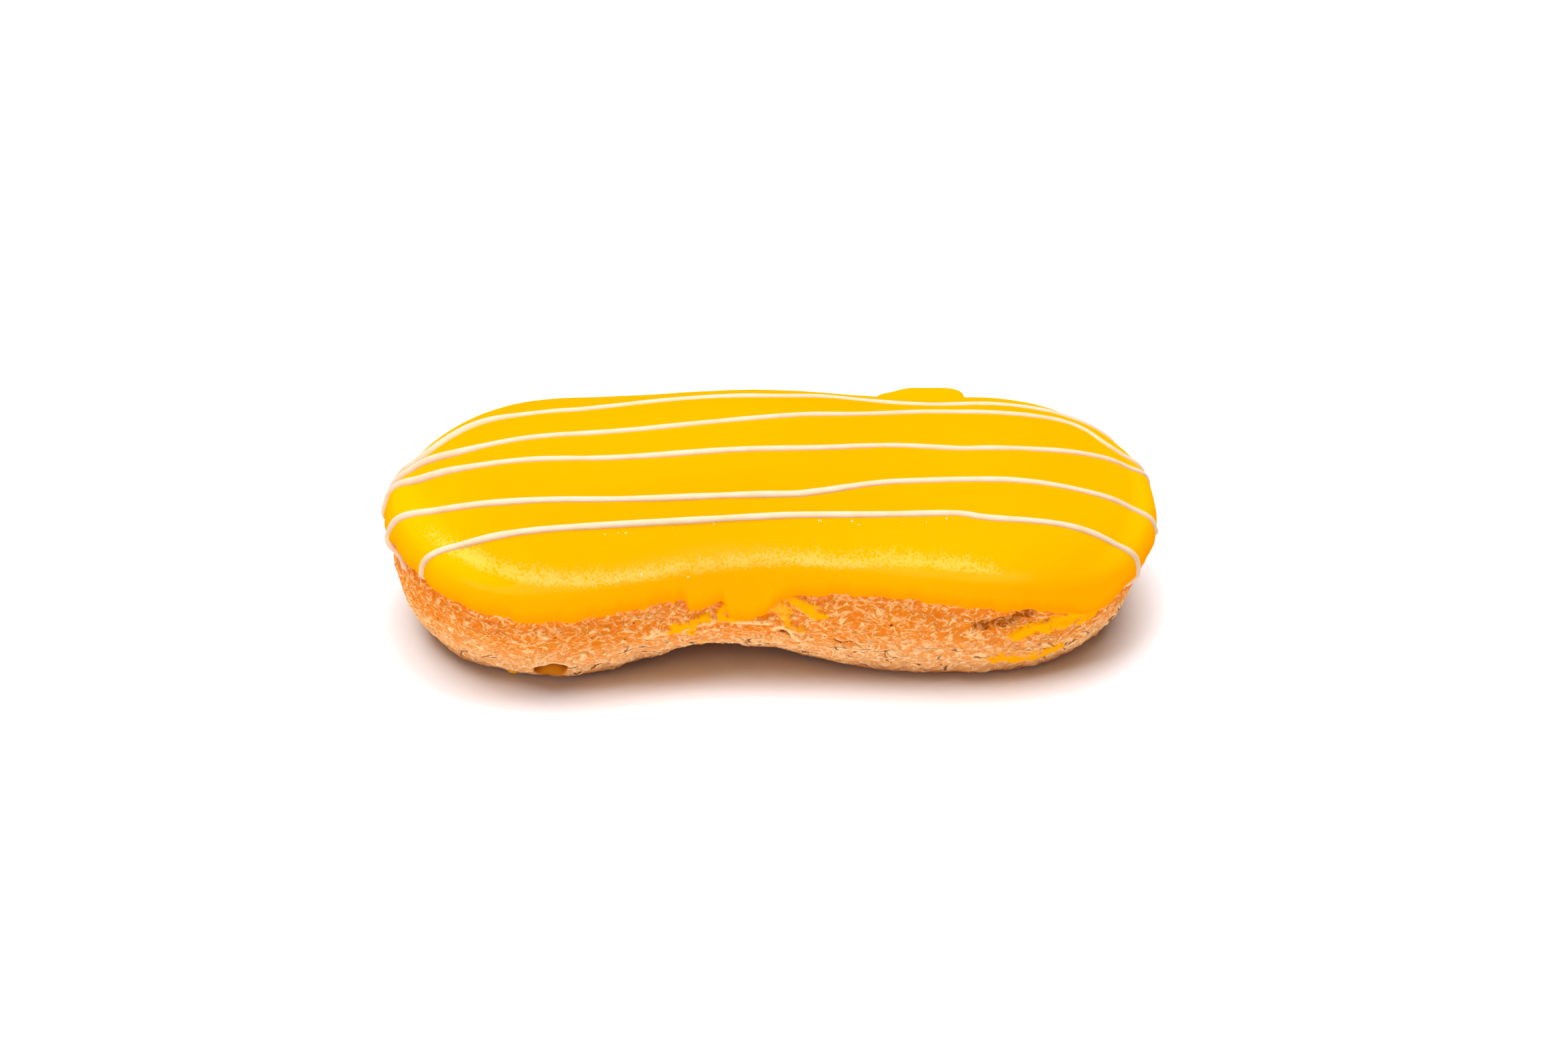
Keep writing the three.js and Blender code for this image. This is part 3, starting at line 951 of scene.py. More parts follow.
@dataclass
class Pastry:
    """The baked choux pastry, with its crust's relief and the marks on it."""

    form: LoafForm
    edge: PouredEdge
    finish: ChouxCrust = field(default_factory=ChouxCrust)
    spacing: float = 0.36
    cap_rows: int = 6
    crust_rows: int = 96
    base_rows: int = 5
    crust_start: float = 0.72
    bare_easing: float = 0.1
    foot_start: float = 1.72
    base_start: float = 1.55
    low_end: float = 1.75
    sunk: float = 0.25
    lump_size: float = 8.0
    lump_height: float = 0.7
    flake_height: float = 0.4
    ledge_height: float = 0.25
    grain_size: float = 0.9
    grain_height: float = 0.08
    stretch: float = 1.4
    wander: float = 3.4
    wander_rate: float = 0.3
    lip_height: float = 0.35
    smear_height: float = 0.3
    peel_height: float = 0.5
    tear_depth: float = 0.3
    crack_depth: float = 0.25
    seed: int = 5
    seed_step: float = 31.7
    bubble_place: FlatPoint = (-44.9, -43.0)
    bubble_size: tuple[float, float, float] = (3.2, 1.3, 1.4)
    bubble_tilt: float = 38.0
    bubble_bowl: tuple[float, float] = (0.45, 1.04)
    bubble_lip: tuple[float, float] = (1.14, 0.1)
    bubble_far: float = 3.0
    flake_spread: float = 3.0
    stroke_steps: int = 12
    cover_steps: int = 6
    strokes: tuple[Stroke, ...] = (
        Stroke(Mark.SMEAR, 0.75, ((-18.9, -27.4), (-16.0, -25.4), (-12.8, -24.2))),
        Stroke(Mark.SMEAR, 0.7, ((-15.4, -27.3), (-15.3, -30.4))),
        Stroke(Mark.SMEAR, 0.8, ((-9.4, -22.2), (-10.3, -24.0), (-8.0, -24.3))),
        Stroke(Mark.SMEAR, 1.1, ((-2.0, -21.9), (0.2, -21.3), (2.5, -21.6)), 0.85),
        Stroke(Mark.SMEAR, 1.1, ((2.6, -21.9), (4.7, -23.2), (6.4, -24.3), (7.6, -25.2))),
        Stroke(Mark.SMEAR, 1.0, ((-2.1, -22.6), (-0.1, -22.9), (2.0, -23.7)), 0.8),
        Stroke(Mark.SMEAR, 0.7, ((0.9, -23.4), (1.4, -24.6), (1.5, -25.6)), 0.85),
        Stroke(Mark.SMEAR, 0.6, ((2.9, -27.5), (4.5, -29.3)), 0.5),
        Stroke(Mark.SMEAR, 1.4, ((44.6, -33.6), (47.1, -31.1), (50.6, -30.3), (54.7, -28.8))),
        Stroke(Mark.SMEAR, 1.0, ((59.0, -28.4), (60.5, -25.4))),
        Stroke(Mark.SMEAR, 1.5, ((50.9, -28.5), (54.2, -27.4), (57.3, -25.4), (59.1, -22.8))),
        Stroke(Mark.SMEAR, 1.5, ((42.1, -43.4), (49.5, -43.2), (55.9, -41.9), (59.7, -38.8))),
        Stroke(Mark.SMEAR, 0.7, ((-14.1, -35.5), (-13.3, -35.7)), 0.6),
        Stroke(Mark.SMEAR, 0.8, ((-64.3, -46.0), (-63.7, -46.2))),
        Stroke(Mark.TEAR, 0.95, ((35.9, -28.8), (39.7, -28.3), (42.5, -27.4), (45.0, -26.0))),
        # A painted shadow in the notch beside the drip
        Stroke(Mark.TEAR, 0.7, ((-10.0, -21.3), (-9.2, -21.2)), 0.8),
        # Drawn cracks and a pit, dark with painted shade
        Stroke(Mark.CRACK, 0.5, ((0.7, -30.5), (1.9, -30.8))),
        # Painted shadow under the flake's lip above it
        Stroke(Mark.CRACK, 0.2, ((-7.0, -26.0), (-5.0, -26.4), (-3.0, -26.6))),
        Stroke(Mark.CRACK, 0.2, ((10.1, -33.6), (11.4, -35.2), (13.0, -34.8), (14.8, -36.2))),
        Stroke(Mark.CRACK, 0.2, ((17.3, -39.2), (19.1, -39.8), (20.8, -45.6))),
        Stroke(Mark.CRACK, 0.2, ((59.0, -36.9), (62.8, -35.1), (65.1, -31.9))),
        Stroke(Mark.FLAKE, 0.45, ((-23.5, -29.9), (-21.1, -29.3), (-18.8, -28.6), (-16.5, -27.1), (-12.4, -25.0),
                                  (-10.0, -24.9))),
        Stroke(Mark.FLAKE, 0.45, ((-8.2, -24.8), (-6.4, -25.3), (-3.7, -25.4), (-1.4, -26.3))),
        Stroke(Mark.FLAKE, 0.45, ((-0.6, -29.0), (0.4, -28.3), (1.6, -28.7), (2.8, -31.4), (4.2, -34.0))),
    )

    def heights(self) -> Array:
        """Heights v of the mesh's rows, finest on the bare crust.

        Returns:
            The heights from the crest to under the spine.
        """
        cap = np.linspace(0.0, self.crust_start, self.cap_rows, endpoint=False)
        crust = np.linspace(self.crust_start, 2.0, self.crust_rows, endpoint=False)
        base = np.linspace(2.0, 3.0, self.base_rows + 1)
        return np.concatenate([cap, crust, base])

    def stroke_strength(self, points: Array, mark: Mark) -> Array:
        """How strongly the strokes of one kind mark each point: 1 on their line, 0.5 at their half width.

        Args:
            points: The bare pastry's points.
            mark: The kind of stroke. A flake falls off slowly above its line and sharply below it.

        Returns:
            A number for each point, negative away from the strokes.
        """
        strength = np.full(points.shape[:-1], -1.0)
        for stroke in self.strokes:
            if stroke.mark is not mark:
                continue
            rays, v, _ = self.form.from_flat(spline(stroke.points, self.stroke_steps))
            near = np.full(points.shape[:-1], np.inf)
            above = np.zeros(points.shape[:-1], bool)
            for place in self.form.surface(rays, v, 0.0):
                gap = np.linalg.norm(points - place, axis=-1)
                closer = gap < near
                near = np.where(closer, gap, near)
                above = np.where(closer, points[..., 2] > place[2], above)
            width = 2.0 * stroke.half_width * np.where(above & (mark is Mark.FLAKE), self.flake_spread, 1.0)
            strength = np.maximum(strength, 1.0 - near / width)
        return strength

    def opacity(self, points: Array) -> Array:
        """How much of the crust the nearest smear hides.

        Args:
            points: The bare pastry's points.

        Returns:
            A share for each point.
        """
        best = np.full(points.shape[:-1], np.inf)
        share = np.ones(points.shape[:-1])
        for stroke in self.strokes:
            if stroke.mark is not Mark.SMEAR:
                continue
            rays, v, _ = self.form.from_flat(spline(stroke.points, self.cover_steps))
            for place in self.form.surface(rays, v, 0.0):
                gap = np.linalg.norm(points - place, axis=-1) / stroke.half_width
                share = np.where(gap < best, stroke.opacity, share)
                best = np.minimum(best, gap)
        return share

    def bubble(self, points: Array) -> tuple[Array, Array, Array]:
        """The burst bubble, which is an oval as it is seen from its tilt.

        Args:
            points: The bare pastry's points.

        Returns:
            The oval's ring through each point (1 is its outline), the height in the oval and its raised lip.
        """
        rays, v, _ = self.form.from_flat(np.array([self.bubble_place]))
        away = points - self.form.surface(rays, v, 0.0)[0]
        length, height, _ = self.bubble_size
        tilt = math.radians(self.bubble_tilt)
        above = (away[..., 2] * math.cos(tilt) + away[..., 1] * math.sin(tilt)) / height
        near = np.linalg.norm(away, axis=-1) < 2.0 * length
        ring = np.minimum(np.hypot(away[..., 0] / length, above), self.bubble_far)
        ring = np.where(near, ring, self.bubble_far)
        crest, width = self.bubble_lip
        return ring, np.clip(above, -2.0, 2.0), swell(ring - crest, width) * smoothstep(above, -0.3, 0.6)

    def build(self) -> bpy.types.Object:
        """Makes the pastry's mesh with its relief.

        Returns:
            The pastry, dressed in its crust.
        """
        turn = self.form.columns(self.spacing)
        v = self.heights()[:, None]
        rays = self.form.rays_at(turn)
        points = self.form.surface(rays, v, 0.0)
        edge = self.edge.at(turn)
        bare = smoothstep(v, edge, edge + self.bare_easing) * (1.0 - smoothstep(v, self.foot_start, 2.0)) * (v < 2.0)
        low = smoothstep(v, edge, self.low_end)
        ring, above, lip = self.bubble(points)
        hole = self.bubble_size[2] * (1.0 - smoothstep(ring, *self.bubble_bowl))
        attributes = {
            "bare": bare * (1.0 - smoothstep(hole, 0.2, 1.2)),
            "low": low,
            "hole": hole,
            "lip": lip,
            "ring": ring,
            "above": above,
            # Darker towards the foot: partly a browned bottom, partly painted shade
            "base": np.broadcast_to(smoothstep(v, self.base_start, 2.0), bare.shape),
            "cover": self.opacity(points),
        }
        for mark in Mark:
            attributes[mark.value + "_line"] = self.stroke_strength(points, mark)
        piece = grid_piece("pastry_crust", points, attributes)
        self.roughen(piece)
        return piece

    def crags(self, g: GeometryTree, low: Socket) -> tuple[Socket, Socket, Socket]:
        """Crags all over the crust: torn flakes, slow lumps, low ledges and a grain over them.

        Args:
            g: The relief's tree, which takes their sizes as inputs.
            low: How far down the crust each point is.

        Returns:
            The way that the crags are drawn out, the grain alone and the height of it all.
        """
        t = g.tree
        sizes = {
            "Lump size": self.lump_size,
            "Lump height": self.lump_height,
            "Flake size": self.finish.patch_size,
            "Flake height": self.flake_height,
            "Ledge size": self.finish.crack_size,
            "Ledge height": self.ledge_height,
            "Grain size": self.grain_size,
            "Grain height": self.grain_height,
        }
        size = {name: g.input(name, value) for name, value in sizes.items()}
        seed = g.input("Seed", self.seed, "NodeSocketInt")
        scale = {
            name: add(t, "ShaderNodeMath", [1.0, size[name]], operation="DIVIDE")
            for name in sizes if name.endswith("size")
        }
        # Places in millimetres, moved by the seed, then squeezed upright so that the pattern is drawn out lengthwise
        metres = add(t, "GeometryNodeInputPosition")
        shift = add(t, "ShaderNodeMath", [seed, self.seed_step], **MULTIPLY)
        place = add(t, "ShaderNodeVectorMath", {0: metres, 1: (1 / MM,) * 3, 2: shift}, **MULTIPLY_ADD)
        drawn = add(t, "ShaderNodeVectorMath", {0: place, 1: (1.0, 1.0, self.stretch)}, **MULTIPLY)
        slow = {"Vector": drawn, "Scale": self.wander_rate, "Detail": 2.0}
        wander = add(t, "ShaderNodeTexNoise", slow, output="Color")
        drift = {0: wander, 1: (self.wander,) * 3, 2: drawn}
        way = add(t, "ShaderNodeVectorMath", drift, **MULTIPLY_ADD)
        # Torn flakes, slow lumps and a grain over them
        flaky = {"Vector": way, "Scale": scale["Flake size"], "Detail": 3.0, "Roughness": 0.55}
        flakes = add(t, "ShaderNodeTexNoise", flaky)
        wall = add(t, "ShaderNodeMapRange", [flakes, 0.3, 0.7, -0.5, 0.5])
        lumps = add(t, "ShaderNodeTexNoise", {"Vector": drawn, "Scale": scale["Lump size"], "Detail": 2.0})
        lump = add(t, "ShaderNodeMapRange", [lumps, 0.3, 0.7, -0.5, 0.5])
        grains = add(t, "ShaderNodeTexNoise", {"Vector": place, "Scale": scale["Grain size"], "Detail": 2.0})
        grain = add(t, "ShaderNodeMapRange", [grains, 0.25, 0.75, -0.5, 0.5])
        # Low ledges on the lower crust that run lengthwise: one side of each stands higher
        long = add(t, "ShaderNodeVectorMath", {0: way, 1: LENGTHWISE}, **MULTIPLY)
        splits = add(t, "ShaderNodeTexNoise", {"Vector": long, "Scale": scale["Ledge size"], "Detail": 1.5})
        step = add(t, "ShaderNodeMapRange", [splits, 0.47, 0.53, -0.5, 0.5], **SMOOTH)
        lower = add(t, "ShaderNodeMapRange", [low, 0.3, 0.65, 0.0, 1.0])
        ledge = add(t, "ShaderNodeMath", [step, lower], **MULTIPLY)
        height = add(t, "ShaderNodeMath", [lump, size["Lump height"], -self.sunk], **MULTIPLY_ADD)
        for part, name in ((wall, "Flake height"), (ledge, "Ledge height"), (grain, "Grain height")):
            height = add(t, "ShaderNodeMath", [part, size[name], height], **MULTIPLY_ADD)
        return way, grain, height

    def roughen(self, piece: bpy.types.Object) -> None:
        """Raises the crust's relief and leaves its colours' attributes on the mesh.

        Args:
            piece: The smooth pastry, with its attributes.
        """
        g = GeometryTree("crust_relief")
        t = g.tree
        names = ("bare", "low", "hole", "lip", "smear_line", "tear_line", "crack_line", "flake_line")
        known = {
            name: add(t, "GeometryNodeInputNamedAttribute", {"Name": name}, data_type="FLOAT") for name in names
        }
        way, grain, height = self.crags(g, known["low"])
        # Drawn marks, with their outlines made ragged by the grain
        marks = {}
        for name, rag, start in (("smear", 0.4, 0.4), ("tear", 0.5, 0.4), ("crack", 0.2, 0.4), ("flake", 0.3, 0.7)):
            ragged = add(t, "ShaderNodeMath", [grain, rag, known[name + "_line"]], **MULTIPLY_ADD)
            marks[name] = add(t, "ShaderNodeMapRange", [ragged, start, start + 0.2, 0.0, 0.9], **SMOOTH)
        flake = add(t, "ShaderNodeMapRange", [known["flake_line"], 0.0, 0.8, 0.0, 1.0])
        # The crags, calmed under a smear, and the drawn marks on top of them
        calm = add(t, "ShaderNodeMapRange", [marks["smear"], 0.0, 1.0, 1.0, 0.6])
        calmed = add(t, "ShaderNodeMath", [height, calm], **MULTIPLY)
        relief = add(t, "ShaderNodeMath", [calmed, known["bare"]], **MULTIPLY)
        relief = add(t, "ShaderNodeMath", [relief, known["hole"]], operation="SUBTRACT")
        for part, rise in (
            (known["lip"], self.lip_height),
            (marks["smear"], self.smear_height),
            (flake, self.peel_height),
            (marks["tear"], -self.tear_depth),
            (marks["crack"], -self.crack_depth),
        ):
            relief = add(t, "ShaderNodeMath", [part, rise, relief], **MULTIPLY_ADD)
        metre = add(t, "ShaderNodeMath", [relief, MM], **MULTIPLY)
        normal = add(t, "GeometryNodeInputNormal")
        offset = add(t, "ShaderNodeVectorMath", {0: normal, "Scale": metre}, operation="SCALE")
        # What the colours follow
        pale = add(t, "ShaderNodeMath", [marks["flake"], known["lip"]], operation="MAXIMUM")
        geometry = g.geometry
        for name, value, kind in (("raised", pale, "FLOAT"), ("way", way, "FLOAT_VECTOR")):
            stored = {0: geometry, "Name": name, "Value": value}
            geometry = add(t, "GeometryNodeStoreNamedAttribute", stored, data_type=kind, domain="POINT")
        geometry = add(t, "GeometryNodeSetPosition", {"Geometry": geometry, "Offset": offset})
        g.run(piece, geometry, self.finish.material())


@dataclass
class Icing:
    """The poured icing: a skin over the pastry's top, with a wavy edge, drips and a lump on its back slope."""

    form: LoafForm
    edge: PouredEdge
    finish: SugarIcing = field(default_factory=SugarIcing)
    spacing: float = 0.6
    outer_rows: int = 76
    rim_rows: int = 6
    inner_rows: int = 8
    thickness: float = 1.9
    thin_share: float = 0.5
    thin_from: float = 0.17
    thin_past: float = 0.04
    drip_thinning: float = 0.35
    drip_reach: float = 0.2
    drip_power: int = 5
    slope_from: float = 0.25
    slope_short: float = 0.05
    rim_from: float = 0.08
    rim_past: float = 0.02
    rim_bulge: float = 0.025
    lips: tuple[Lip, ...] = (Lip(1.42, 0.2, 1.3), Lip(3.64, 0.22, 2.0))
    lip_rise: tuple[float, float] = (0.26, 0.08)
    sunk: float = 0.5
    lump_from: float = 22.3
    lump_to: float = 36.2
    lump_slope: float = 1.0
    lump_place: float = 0.5
    lump_width: float = 0.1
    lump_height: float = 1.9
    lump_power: int = 5
    lump_easing: float = 1.5
    wave_size: float = 6.0
    wave_height: float = 0.14
    skin_size: float = 1.6
    skin_height: float = 0.05
    seed: int = 3
    bend: tuple[tuple[float, float], ...] = (
        (-0.42, 0.6), (-0.23, 0.605), (-0.167, 0.63), (-0.015, 0.657), (0.07, 0.672), (0.13, 0.675), (0.24, 0.662),
        (0.377, 0.656), (0.526, 0.631), (0.672, 0.624), (0.8, 0.597), (0.865, 0.604), (0.98, 0.632), (1.077, 0.683),
    )
    bend_back: float = 2.5
    bend_above: float = 0.078
    bend_below: float = 0.036
    bend_easing: tuple[float, float, float] = (0.05, 1.0, 0.03)
    speck_line: tuple[tuple[float, float], ...] = (
        (0.0, 0.455), (0.3, 0.466), (0.48, 0.461), (0.67, 0.425), (0.93, 0.38), (1.0, 0.4),
    )
    speck_width: float = 0.008
    speck_gain: float = 2.0
    speck_share: float = 0.12

    def depth(self, turn: Array, v: Array) -> Array:
        """The icing's thickness: it runs thin towards its edge and in its drips, and hangs in lips over the ends.

        Args:
            turn: Where round the eclair.
            v: Where on the section.

        Returns:
            The thickness at each place.
        """
        calm = self.edge.wavy(turn)
        thin = 1.0 - (1.0 - self.thin_share) * smoothstep(v, calm - self.thin_from, calm + self.thin_past)
        poured = self.thickness * thin * (1.0 - self.drip_thinning * smoothstep(v, calm, calm + self.drip_reach))
        start, full = self.lip_rise
        for lip in self.lips:
            along = plateau(turn - lip.turn, lip.width)
            poured = poured + lip.height * along * smoothstep(v, calm - start, calm - full)
        return poured

    def band(self, turn: Array, v: Array) -> Array:
        """How near each place is to the line where the icing bends over to the front, along which the highlight is
        painted.

        Args:
            turn: Where round the eclair.
            v: Where on the section.

        Returns:
            1 on the line and 0 away from it.
        """
        around = np.where(turn > self.bend_back, turn - WHOLE_TURN, turn)
        turns, heights = zip(*self.bend)
        off = v - np.interp(around, turns, heights)
        before, fade, past = self.bend_easing
        ends = smoothstep(around, turns[0] - before, turns[1])
        ends = ends * (1.0 - smoothstep(around, fade, turns[-1] + past))
        return ends * np.where(off < 0, swell(off, self.bend_above), swell(off, self.bend_below))

    def build(self) -> bpy.types.Object:
        """Makes the icing's mesh: its outside, its rounded rim and its inside, which lies in the pastry.

        Returns:
            The icing, dressed.
        """
        turn = self.form.columns(self.spacing)
        rays = self.form.rays_at(turn)
        edge = self.edge.at(turn)
        calm = self.edge.wavy(turn)
        down = np.linspace(0.0, 1.0, self.outer_rows)[:, None]
        v_outer = calm * down + (edge - calm) * down**self.drip_power
        lift_outer = self.depth(turn, v_outer) + self.lump(rays, v_outer)
        angle = np.linspace(0.0, math.pi / 2.0, self.rim_rows + 1)[1:, None]
        v_rim = edge + self.rim_bulge * np.sin(angle)
        lift_rim = lift_outer[-1] * np.cos(angle) - self.sunk * (1.0 - np.cos(angle))
        back = np.linspace(1.0, 0.0, self.inner_rows + 1)[1:, None]
        v_inner = v_rim[-1] * back
        v = np.vstack([v_outer, v_rim, v_inner])
        lift = np.vstack([lift_outer, lift_rim, np.full_like(v_inner, -self.sunk)])
        points = self.form.surface(rays, v, lift)
        outside = np.vstack([np.ones_like(v_outer), np.zeros_like(v_rim), np.zeros_like(v_inner)])
        attributes = {
            "outside": outside,
            # Where the front slope's painted light goes
            "slope": smoothstep(v, self.slope_from, calm - self.slope_short),
            "rim": smoothstep(v, edge - self.rim_from, edge + self.rim_past),
            # Where the painted highlight lies
            "band": outside * self.band(turn, v),
            # Where the painted glint specks stand
            "speck": outside * self.speckled(turn, v),
        }
        piece = grid_piece("icing_skin", points, attributes)
        self.ripple(piece)
        return piece

    def speckled(self, turn: Array, v: Array) -> Array:
        """How many white specks of painted glint show: most of them right under the lowest string, some in the band.

        Args:
            turn: Where round the eclair.
            v: Where on the section.

        Returns:
            A share of the full density for each place.
        """
        turns, heights = zip(*self.speck_line)
        below = swell(v - np.interp(turn, turns, heights), self.speck_width) * (turn < turns[-1])
        return self.speck_gain * below + self.speck_share * self.band(turn, v)

    def lump(self, rays: Rays, v: Array) -> Array:
        """The lump on the back slope, which is lower at its left end.

        Args:
            rays: Where round the eclair.
            v: Where on the section.

        Returns:
            The lump's height over the icing at each place.
        """
        x = self.form.surface(rays, v, 0.0)[..., 0]
        middle, half = (self.lump_from + self.lump_to) / 2.0, (self.lump_to - self.lump_from) / 2.0
        along = np.abs((x - middle) / (half + self.lump_slope))
        round_ends = np.sqrt(np.clip(1.0 - along**self.lump_power, 0.0, 1.0))
        uneven = 0.5 + 0.5 * smoothstep(x, self.lump_from, middle - self.lump_easing)
        across = plateau(v - self.lump_place, self.lump_width) * (rays.dy > 0)
        return self.lump_height * round_ends * uneven * across

    def ripple(self, piece: bpy.types.Object) -> None:
        """Gives the outside the slow waves and fine skin of poured icing.

        Args:
            piece: The smooth icing, with its attributes.
        """
        g = GeometryTree("icing_ripple")
        t = g.tree
        wave_size = g.input("Wave size", self.wave_size * MM)
        wave_height = g.input("Wave height", self.wave_height * MM)
        skin_size = g.input("Skin size", self.skin_size * MM)
        skin_height = g.input("Skin height", self.skin_height * MM)
        seed = g.input("Seed", self.seed, "NodeSocketInt")
        place = add(t, "ShaderNodeVectorMath", [add(t, "GeometryNodeInputPosition"), seed], operation="ADD")
        outside = add(t, "GeometryNodeInputNamedAttribute", {"Name": "outside"}, data_type="FLOAT")
        offset = 0.0
        for extent, rise in ((wave_size, wave_height), (skin_size, skin_height)):
            scale = add(t, "ShaderNodeMath", [1.0, extent], operation="DIVIDE")
            noise = add(t, "ShaderNodeTexNoise", {"Vector": place, "Scale": scale, "Detail": 1.0})
            level = add(t, "ShaderNodeMath", [noise, 0.5], operation="SUBTRACT")
            offset = add(t, "ShaderNodeMath", [level, rise, offset], **MULTIPLY_ADD)
        shown = add(t, "ShaderNodeMath", [offset, outside], **MULTIPLY)
        normal = add(t, "GeometryNodeInputNormal")
        move = add(t, "ShaderNodeVectorMath", {0: normal, "Scale": shown}, operation="SCALE")
        moved = add(t, "GeometryNodeSetPosition", {"Geometry": g.geometry, "Offset": move})
        g.run(piece, moved, self.finish.material())


@dataclass
class Drizzle:
    """Cream strings laid lengthwise over the icing, two of them running past its edge onto the crust."""

    form: LoafForm
    edge: PouredEdge
    icing: Icing
    finish: CreamDrizzle = field(default_factory=CreamDrizzle)
    radius: float = 0.66
    sunk: float = 0.2
    crust_sunk: float = 0.2
    fall: float = 0.1
    unevenness: float = 0.1
    uneven_length: float = 11.0
    start_swells: tuple[float, ...] = (0.45, 0.4, 0.4, 0.2, 0.0)
    start_length: float = 32.0
    start_easing: float = 0.55
    tip_length: float = 1.6
    tip_share: float = 0.12
    route_steps: int = 14
    step: float = 0.5
    sides: int = 14
    strings: tuple[tuple[FlatPoint, ...], ...] = (
        ((-61, 7.4), (-54, 5.3), (-46, 6), (-38, 5.1), (-20, 6.2), (0, 6.3), (14, 8.4), (36, 8.6), (48, 9.5),
         (60, 12.5)),
        ((-63, 5.8), (-54.5, 3.7), (-46, 0.9), (-30, 0.6), (-6, 1), (10, 3), (28, 6), (40, 5.9), (49, 6.7), (54, 5),
         (64, 6)),
        ((-65, 2.2), (-59, 2.5), (-51, -0.8), (-38, -2.7), (0, -2.9), (23, -0.5), (42, -0.5), (57, 2.4), (65, 4.9)),
        ((-63.5, -10.5), (-62.4, -6.4), (-58.9, -5), (-46.5, -7.3), (-34, -8), (-1.4, -8.4), (8, -7.9), (22, -5.6),
         (36, -5), (47, -6.1), (56, -6.3), (65, -6.8)),
        ((-57, -14.6), (-54.3, -12.6), (-46, -11.8), (-27, -11.1), (-1.5, -10.9), (12.4, -10.7), (31, -9.9),
         (38.4, -10.9), (46, -11.8), (53.4, -13.2), (60.2, -14.8), (65, -19)),
    )

    def route(self, points: Sequence[FlatPoint]) -> Array:
        """Where a string's middle runs, sunk a little in what it lies on.

        Args:
            points: Points of the rolled-out top that it passes over.

        Returns:
            The route's points in millimetres.
        """
        rays, v, turn = self.form.from_flat(spline(points, self.route_steps))
        edge = self.edge.at(turn)
        fallen = smoothstep(v, edge, edge + self.fall)
        on_icing = self.icing.depth(turn, v) - self.sunk
        return self.form.surface(rays, v, on_icing * (1.0 - fallen) - self.crust_sunk * fallen)

    def build(self) -> bpy.types.Object:
        """Makes the strings as one mesh, swept along their routes, most of them thicker where they start.

        Returns:
            The drizzle, dressed.
        """
        points, edges, widths = [], [], []
        for string, start in zip(self.strings, self.start_swells):
            route = self.route(string)
            edges += [(len(points) + i, len(points) + i + 1) for i in range(len(route) - 1)]
            points += [tuple(p * MM) for p in route]
            gone = np.cumsum(np.linalg.norm(np.diff(route, axis=0, prepend=route[:1]), axis=1))
            eased = smoothstep(gone, self.start_easing * self.start_length, self.start_length)
            widths += list(1.0 + start * (1.0 - eased))
        mesh = bpy.data.meshes.new("drizzle_routes")
        mesh.from_pydata(points, edges, [])
        mesh.attributes.new("width", "FLOAT", "POINT").data.foreach_set("value", widths)
        piece = link_mesh("cream_drizzle", mesh)
        self.sweep(piece)
        return piece

    def sweep(self, piece: bpy.types.Object) -> None:
        """Sweeps an uneven round section along the routes, closing it to a rounded tip at both ends.

        Args:
            piece: The routes, as a mesh of edges with a width for each point.
        """
        g = GeometryTree("drizzle_sweep")
        t = g.tree
        radius = g.input("Radius", self.radius * MM)
        uneven = g.input("Unevenness", self.unevenness)
        length = g.input("Uneven length", self.uneven_length * MM)
        step = g.input("Step", self.step * MM)
        sides = g.input("Sides", self.sides, "NodeSocketInt")
        curve = add(t, "GeometryNodeMeshToCurve", {"Mesh": g.geometry})
        fine = add(t, "GeometryNodeResampleCurve", {"Curve": curve, "Length": step}, mode="LENGTH")
        place = add(t, "GeometryNodeInputPosition")
        scale = add(t, "ShaderNodeMath", [1.0, length], operation="DIVIDE")
        noise = add(t, "ShaderNodeTexNoise", {"Vector": place, "Scale": scale, "Detail": 2.0})
        spread = add(t, "ShaderNodeMapRange", [noise, 0.3, 0.7, -1.0, 1.0])
        swollen = add(t, "ShaderNodeMath", [spread, uneven, 1.0], **MULTIPLY_ADD)
        gone = add(t, "GeometryNodeSplineParameter", output="Length")
        whole = add(t, "GeometryNodeSplineLength", output="Length")
        left = add(t, "ShaderNodeMath", [whole, gone], operation="SUBTRACT")
        nearest = add(t, "ShaderNodeMath", [gone, left], operation="MINIMUM")
        share = add(t, "ShaderNodeMath", [nearest, radius], operation="DIVIDE")
        rounding = [share, 0.0, self.tip_length, self.tip_share, 1.0]
        tip = add(t, "ShaderNodeMapRange", rounding, interpolation_type="SMOOTHERSTEP")
        width = add(t, "GeometryNodeInputNamedAttribute", {"Name": "width"}, data_type="FLOAT")
        sized = add(t, "ShaderNodeMath", [swollen, tip], **MULTIPLY)
        sized = add(t, "ShaderNodeMath", [sized, width], **MULTIPLY)
        profile = add(t, "GeometryNodeCurvePrimitiveCircle", {"Resolution": sides, "Radius": radius})
        tube = {"Curve": fine, "Profile Curve": profile, "Scale": sized, "Fill Caps": True}
        swept = add(t, "GeometryNodeCurveToMesh", tube)
        g.run(piece, swept, self.finish.material())


@dataclass(frozen=True)
class WhiteGlint:
    """Tiny bright white points in the icing's skin: painted glints."""

    colour: str = "#FFF8E8"
    roughness: float = 0.25

    def material(self) -> bpy.types.Material:
        """Makes the crystals' material.

        Returns:
            The material.
        """
        material, tree = new_material("white_painted_glint")
        shader = add(tree, "ShaderNodeBsdfPrincipled", {
            "Base Color": linear(self.colour), "Roughness": self.roughness,
        })
        add(tree, "ShaderNodeOutputMaterial", {"Surface": shader})
        return material


